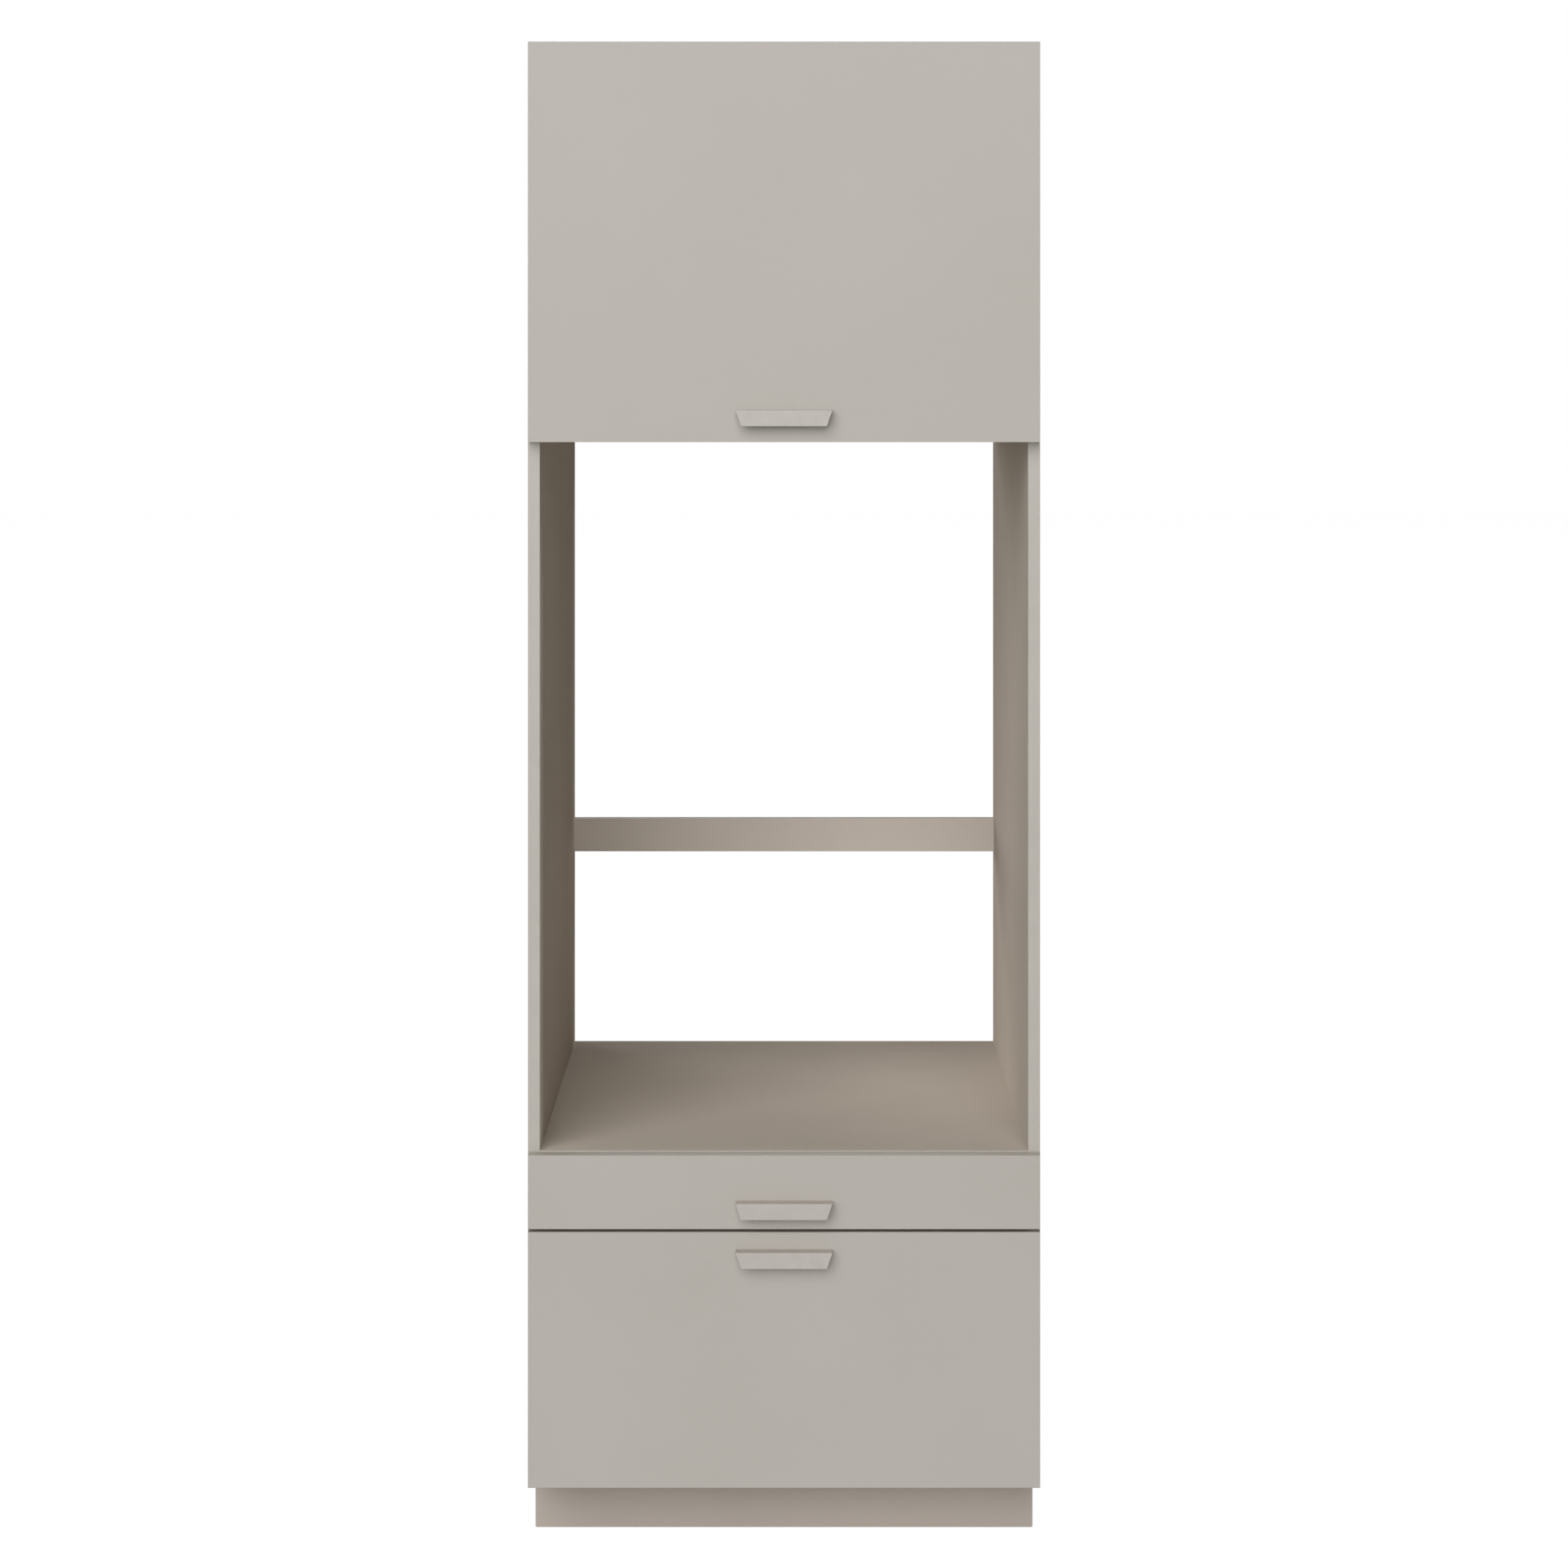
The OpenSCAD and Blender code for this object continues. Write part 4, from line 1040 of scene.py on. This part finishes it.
@dataclass
class Legs:
    """Sockets, feet and the clips that hold the plinth."""

    flutes: int = 24
    flute_rib: float = 0.6 * MM  # half of the rib between two flutes
    flute_depth: float = 0.7 * MM
    pitch: float = 3.0 * MM  # pitch of the foot's thread
    thread_depth: float = 0.9 * MM
    # Points of a turn, as shares of the pitch and of the depth.
    thread: tuple[tuple[float, float], ...] = ((0.2, 0.0), (0.5, 1.0), (0.65, 1.0), (0.95, 0.0))
    corner: float = 6.0 * MM  # rounding of the socket plate's corners
    plate_edge: float = 0.8 * MM  # rounding of its lower edge
    plate_height: float = 4.0 * MM
    barrel: float = 22.0 * MM  # radius of the socket's barrel
    stem: float = 15.0 * MM  # radius of the foot's stem
    play: float = 0.1 * MM  # play of the stem in its bore
    screw_inset: float = 6.0 * MM  # distance of the plate's holes from its edges
    screw_hole: float = 2.5 * MM  # radius of the holes
    # Points of the pad's edge in millimetres, inwards and up.
    pad: tuple[tuple[float, float], ...] = (
        (1.0, 0.0), (0.0, 1.0), (0.0, 6.0), (1.0, 7.0), (4.0, 8.0))
    shoulder: float = 12.0 * MM  # height of the cone over the pad
    stem_end: float = 2.0 * MM  # least length without thread at the stem's end
    clip_edge: float = 0.5 * MM  # rounding of the clips' edges

    def build(self) -> None:
        """Builds the four legs and the two clips."""
        pieces = [self.socket(solid) for solid in solids("leg_sockets", Z)]
        hand_over(join("fluted_sockets", pieces), LEG_PLASTIC, "leg_sockets")
        self.feet()
        refine("plinth_clips", "plinth_clip_pair", LEG_PLASTIC, self.clip_edge)

    def socket(self, solid: Solid) -> Piece:
        """Models one socket: a plate, a fluted barrel and its bore.

        Args:
            solid: The solid that it stands for.

        Returns:
            The model.
        """
        low, high, middle = solid.low, solid.high, solid.middle
        under = high.z - self.plate_height
        plate = add_block("plate", at(low, Z, under), high)
        round_edges(plate, lambda a, b: abs(a.z - b.z) > self.plate_height / 2, self.corner,
                    segments=6)
        round_edges(plate, lambda a, b: max(a.z, b.z) < under + NEAR, self.plate_edge, segments=2)
        tube = add_rod("barrel", at(middle, Z, under), at(middle, Z, low.z), self.barrel,
                       sides=self.flutes * 2)
        inset_faces(tube, lambda spot, normal: abs(normal.z) < SQUARE, self.flute_rib,
                    self.flute_depth)
        combine(tube, add_rod("bore", at(middle, Z, low.z - MM),
                              at(middle, Z, under - self.plate_height), self.stem + self.play))
        for x in (low.x + self.screw_inset, high.x - self.screw_inset):
            for y in (low.y + self.screw_inset, high.y - self.screw_inset):
                ends = (Vector((x, y, under - MM)), Vector((x, y, high.z + MM)))
                combine(plate, add_rod("hole", *ends, self.screw_hole))
        return join("socket", [plate, tube])

    def feet(self) -> None:
        """Makes the feet with their pads and threaded stems."""
        sizes = solids("leg_feet", Z)
        template = self.foot(sizes[0].radius(X), sizes[0].high.z)
        pieces = [copy_to(template, Matrix.Translation(at(solid.middle, Z, 0.0)))
                  for solid in sizes]
        bpy.data.objects.remove(template)
        hand_over(join("threaded_feet", pieces), LEG_PLASTIC, "leg_feet")

    def foot(self, radius: float, height: float) -> Piece:
        """Spins one foot from its profile.

        Args:
            radius: Radius of the pad.
            height: Height of the foot from the floor to the end of its stem.

        Returns:
            The model, standing at the origin.
        """
        profile = [(0.0, 0.0)] + [(radius - inwards * MM, up * MM) for inwards, up in self.pad]
        profile.append((self.stem, self.shoulder))
        for turn in range(int((height - self.shoulder - self.stem_end) / self.pitch)):
            base = self.shoulder + turn * self.pitch
            profile += [(self.stem - self.thread_depth * depth, base + place * self.pitch)
                        for place, depth in self.thread]
        profile += [(self.stem - MM, height), (0.0, height)]
        return spin_profile("foot", profile, steps=48)


@dataclass
class Hinges:
    """The two flap hinges: plates and arms on the top panel, cups in the flap."""

    edge: float = 0.3 * MM  # rounding of the pressed edges
    corner: float = 5.0 * MM  # rounding of the cup flange's corners
    cup_edge: float = 0.2 * MM  # chamfer of the cup's edges
    screw_radius: float = 3.2 * MM  # radius of the flange screws' heads
    screw_height: float = 0.9 * MM  # height of their heads
    screw_edge: float = 0.4 * MM  # rounding of their heads
    screw_sunk: float = 0.1 * MM  # depth of a head in its flange
    screw_inset: float = 6.5 * MM  # distance of a screw from the flange's end
    screw_drop: float = 8.0 * MM  # distance of a screw below the middle of the cup
    # Half of a slot's width, depth and length, in millimetres.
    slot: tuple[float, float, float] = (0.35, 0.5, 1.8)

    def build(self) -> None:
        """Builds both hinges."""
        for node in ("hinge_plates", "hinge_arms"):
            refine(node, node + "_pair", NICKEL, self.edge)
        keep("hinge_pins", NICKEL)
        self.cups()

    def cups(self) -> None:
        """Makes the cups with rounded flanges and a screw at each end."""
        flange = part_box("hinge_cups")[1].y
        made = merged_copy("hinge_cups", "hinge_cup_pair")

        def corner(start: Vector, end: Vector) -> bool:
            """Accepts the short upright edges at the corners of the flanges."""
            upright = abs(start.x - end.x) < NEAR and abs(start.z - end.z) < NEAR
            return upright and max(start.y, end.y) > flange - NEAR

        round_edges(made, corner, self.corner, segments=5, clamp=False)
        soften(made, self.cup_edge, segments=1)
        pieces = [made]
        for solid in solids("hinge_cups", X):
            height = solid.middle.z - self.screw_drop
            for x in (solid.low.x + self.screw_inset, solid.high.x - self.screw_inset):
                pieces.append(self.screw(Vector((x, flange, height))))
        hand_over(join("hinge_cup_pair", pieces), NICKEL, "hinge_cups")

    def screw(self, seat: Vector) -> Piece:
        """Models a flat screw head with a crossed slot on a flange.

        Args:
            seat: Middle of the head on the flange.

        Returns:
            The model.
        """
        top = seat + AXES[Y] * self.screw_height
        head = add_rod("flange_screw", seat - AXES[Y] * self.screw_sunk, top, self.screw_radius)
        round_edges(head, rim(top.y), self.screw_edge, segments=2)
        for reach in (Vector(self.slot) * MM, Vector(self.slot[::-1]) * MM):
            combine(head, add_block("slot", top - reach, top + reach))
        return head


@dataclass
class LiftUnits:
    """The two lift units beside the flap."""

    edge: float = 0.4 * MM  # rounding of pressed steel edges
    corner: float = 9.0 * MM  # rounding of the cover's corners
    rim: float = 4.0 * MM  # width of the cover's raised rim
    step: float = 0.6 * MM  # depth of the panel inside the rim
    cap: float = 26.0 * MM  # radius of the raised ring round the pivot
    cap_rim: float = 3.0 * MM  # width of the ring's own rim
    cap_root: float = 0.2 * MM  # depth of the ring's foot in the cover
    bore: float = 4.1 * MM  # radius of the hole for the pivot
    bore_past: float = 5.0 * MM  # length of the boring tool beyond the cover
    cover_edge: float = 0.15 * MM  # chamfer of the cover's edges

    def build(self) -> None:
        """Builds the housings, covers, pins, levers, links and brackets."""
        for node in ("lift_housings", "lift_pivots", "lift_levers", "lift_links", "lift_brackets"):
            refine(node, node + "_pair", NICKEL, self.edge)
        self.covers()

    def covers(self) -> None:
        """Makes the plastic covers with a sunk panel and a ring."""
        right = solids("lift_covers", X)[-1]
        pivot = solids("lift_pivots", X)[-1].middle
        made = add_block("lift_cover_pair", right.low, right.high)
        round_edges(made, lambda a, b: abs(a.x - b.x) > NEAR, self.corner, segments=8)
        inset_faces(made, lambda middle, normal: normal.x < -TOWARDS, self.rim, self.step)
        start, end = at(pivot, X, right.high.x - self.cap_root), at(pivot, X, right.low.x)
        combine(made, add_rod("ring", start, end, self.cap, sides=64), "UNION")
        inset_faces(made, lambda middle, normal: normal.x < -TOWARDS
                    and (middle - end).length < MM / 2, self.cap_rim, self.step / 2)
        past = AXES[X] * self.bore_past
        combine(made, add_rod("bore", start + past, end - past, self.bore))
        soften(made, self.cover_edge, segments=1)
        apply_modifier(made, "MIRROR", use_mirror_merge=False, use_clip=False)
        with editing(made):
            bpy.ops.mesh.normals_make_consistent(inside=False)
        hand_over(made, COVER_PLASTIC, "lift_covers")


@dataclass
class Drawer:
    """A drawer box on its two runners."""

    label: str  # which drawer it is: small or large
    lip: float = 2.0 * MM  # rounding of the upper edges of the box
    bend: float = 0.45 * MM  # rounding of the runners' bends
    balls: int = 5
    # Least and greatest reach of a ball's face, as shares of its radius.
    shell: tuple[float, float] = (0.9, 1.02)

    def build(self) -> None:
        """Builds the box, the runners and the ball cages."""
        walls = {"side_left": (), "side_right": (), "box_front": ENDS, "back": ENDS}
        for part, butted in walls.items():
            self.wall(f"{self.label}_{part}", butted)
        made = merged_copy(self.label + "_bottom", self.label + "_bottom_board")
        hand_over(made, DRAWER_FILM, self.label + "_bottom")
        for part in ("outer", "middle", "inner"):
            node = f"{self.label}_runner_{part}"
            refine(node, node + "_pair", RUNNER_STEEL, self.bend)
        for part in ("outer", "inner"):
            self.cage(f"{self.label}_{part}_cages")

    def wall(self, node: str, butted: Iterable[Side]) -> None:
        """Makes one wall of the box with its rounded upper edge.

        Args:
            node: The CAD node of the wall.
            butted: Faces that meet another wall.
        """
        made = merged_copy(node, node + "_board")
        round_edges(made, arrises(node, (Side.TOP,), butted), self.lip, segments=5)
        hand_over(made, DRAWER_FILM, node)

    def cage(self, node: str) -> None:
        """Makes one set of cages, of brass with steel balls.

        Args:
            node: The CAD node of the cages.
        """
        made = merged_copy(node, node + "_set")
        strips = solids(node, Y)
        pitch = strips[0].length / self.balls
        first = strips[0].low.y + pitch / 2
        levels = sorted({round(strip.middle.z, 6) for strip in strips})
        planes = sorted({round(strip.middle.x, 6) for strip in strips})
        least, most = (share * strips[0].radius(Z) for share in self.shell)
        centres = [Vector((x, first + pitch * i, z))
                   for x in planes for z in levels for i in range(self.balls)]

        def on_ball(middle: Vector, normal: Vector) -> bool:
            """Accepts a face that lies on a ball."""
            return any(least < (middle - c).length < most
                       and normal.dot((middle - c).normalized()) > TOWARDS for c in centres)

        hand_over(made, BRASS, node)
        paint(made, BALL_STEEL, on_ball)


@dataclass
class WallBrackets:
    """The two angles that tie the cabinet to the wall."""

    bend: float = 1.5 * MM  # outer rounding of the bend
    edge: float = 0.3 * MM  # rounding of the other edges

    def build(self) -> None:
        """Builds the pair with rounded bends."""
        made = merged_copy("wall_brackets", "wall_angle_pair")
        bent = arrises("wall_brackets", (Side.REAR,), ENDS + (Side.UNDER,))
        round_edges(made, bent, self.bend, segments=4)
        soften(made, self.edge)
        hand_over(made, ZINC, "wall_brackets")


@dataclass(frozen=True)
class Lamp:
    """A lamp that faces the middle of the cabinet."""

    name: str
    turn: float  # azimuth from the front, to the left, in degrees
    height: float  # height over the horizon, in degrees
    power: float  # power of a disk, or strength of a sun
    spread: float = 12.0  # width of a sun, in degrees
    distance: float = 0.0  # distance of a disk, or nothing for a sun
    size: float = 0.0  # diameter of a disk

    def add(self) -> None:
        """Adds the lamp: a broad disk that the camera doesn't see, or a sun without gloss."""
        made = linked(self.name, bpy.data.lights.new(self.name, "AREA" if self.size else "SUN"))
        made.data.energy = self.power
        if self.size:
            made.data.shape = "DISK"
            made.data.size = self.size
            made.visible_camera = False
        else:
            made.data.angle = math.radians(self.spread)
            made.visible_glossy = False
        side, rise = math.radians(self.turn), math.radians(self.height)
        towards = Vector((-math.sin(side) * math.cos(rise), -math.cos(side) * math.cos(rise),
                          math.sin(rise)))
        low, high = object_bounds()
        made.location = (low + high) / 2 + towards * self.distance
        made.rotation_euler = towards.to_track_quat("Z", "Y").to_euler()


@dataclass
class Studio:
    """A pale floor, soft light and a level camera in front of the cabinet."""

    distance: float = 3.8481  # distance of the camera in front of the origin
    eye: float = 1.4517  # height of the camera
    sensor: float = 36.0  # width of its sensor in millimetres
    lens: float = 65.52  # its focal length in millimetres
    rise: float = -0.2525  # vertical shift of the image, as a share of its side
    # A broad light from the upper left, and weak ones at the right and behind.
    lamps: tuple[Lamp, ...] = (
        Lamp("key_light", 16.0, 30.0, 7600.0, distance=26.0, size=33.0),
        Lamp("right_fill", -90.0, 14.0, 1.0),
        Lamp("rear_fill", 180.0, 6.0, 0.65, 4.0),
        Lamp("rear_left_fill", 135.0, 6.0, 1.1, 40.0))
    ambient: float = 0.015  # brightness of the surroundings
    floor_tone: float = 0.6  # share of light that the floor gives back
    floor_glow: float = 1.28  # brightness of the floor to the camera and in gloss
    floor_share: float = 0.75  # share of that glow, the rest being plain floor with its shadow
    floor_size: float = 60.0

    def build(self) -> None:
        """Sets up the camera, the lights, the surroundings and the floor."""
        self.camera()
        for lamp in self.lamps:
            lamp.add()
        self.surroundings()
        self.floor()
        bpy.context.scene.view_settings.view_transform = "Standard"

    def camera(self) -> None:
        """Places the camera level, with its image shifted down."""
        made = linked("camera", bpy.data.cameras.new("camera"))
        made.location = (0.0, -self.distance, self.eye)
        made.rotation_euler = (math.pi / 2, 0.0, 0.0)
        made.data.sensor_width = self.sensor
        made.data.lens = self.lens
        made.data.shift_y = self.rise
        bpy.context.scene.camera = made

    def surroundings(self) -> None:
        """Shows white to the camera and in gloss, and lights the rest evenly."""
        world = bpy.data.worlds.new("studio")
        bpy.context.scene.world = world
        world.use_nodes = True
        tree = world.node_tree
        tree.nodes.clear()
        plain = add_node(tree, "Background", {"Color": WHITE, "Strength": self.ambient})
        white = add_node(tree, "Background", {"Color": WHITE})
        end_in_mix(tree, "OutputWorld", seen_directly(tree), plain.outputs["Background"],
                   white.outputs["Background"])

    def floor(self) -> None:
        """Adds a pale floor that looks white and keeps a soft shadow."""
        bpy.ops.mesh.primitive_plane_add(size=self.floor_size)
        made = named("floor")
        made.data.materials.append(self.floor_material())
        made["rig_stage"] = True

    def floor_material(self) -> bpy.types.Material:
        """Builds the floor's material.

        Returns:
            White for the camera and in gloss, mixed with enough plain diffuse
            to keep the shadow under the cabinet.
        """
        made = bpy.data.materials.new("pale_floor")
        made.use_nodes = True
        tree = made.node_tree
        tree.nodes.clear()
        matte = add_node(tree, "BsdfDiffuse", {"Color": (self.floor_tone,) * 3 + (1.0,)})
        glow = add_node(tree, "Emission", {"Strength": self.floor_glow})
        share = add_math(tree, "MULTIPLY", seen_directly(tree), self.floor_share)
        end_in_mix(tree, "OutputMaterial", share, matte.outputs["BSDF"],
                   glow.outputs["Emission"])
        return made


def seen_directly(tree: Tree) -> Socket:
    """Tells rays of the camera, of gloss and through glass from the others.

    Args:
        tree: The node tree.

    Returns:
        A factor that is 1 for those rays and 0 for the others.
    """
    path = add_node(tree, "LightPath", {})
    total = path.outputs["Is Camera Ray"]
    for ray in ("Is Glossy Ray", "Is Transmission Ray"):
        total = add_math(tree, "MAXIMUM", total, path.outputs[ray])
    return total


def end_in_mix(tree: Tree, kind: str, share: Socket, first: Socket, second: Socket) -> None:
    """Ends a node tree in a mix of two shaders.

    Args:
        tree: The node tree.
        kind: Type of its output node.
        share: Share of the second shader.
        first: The first shader.
        second: The second shader.
    """
    mixed = add_node(tree, "MixShader", {"Fac": share, 1: first, 2: second})
    add_node(tree, kind, {"Surface": mixed.outputs["Shader"]})


def main() -> None:
    """Builds the cabinet's looks, piece by piece."""
    logging.basicConfig(level=logging.INFO, format="%(name)s: %(message)s")
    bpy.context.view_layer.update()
    Studio().build()
    Carcass().build()
    Legs().build()
    WallBrackets().build()
    Screws("fitting_screws").build()
    for label, panel in (("flap", "flap_panel"), ("small", "small_front"),
                         ("large", "large_front")):
        Front(label, panel).build()
    Hinges().build()
    LiftUnits().build()
    for label in ("small", "large"):
        Drawer(label).build()


if __name__ == "__main__":
    main()
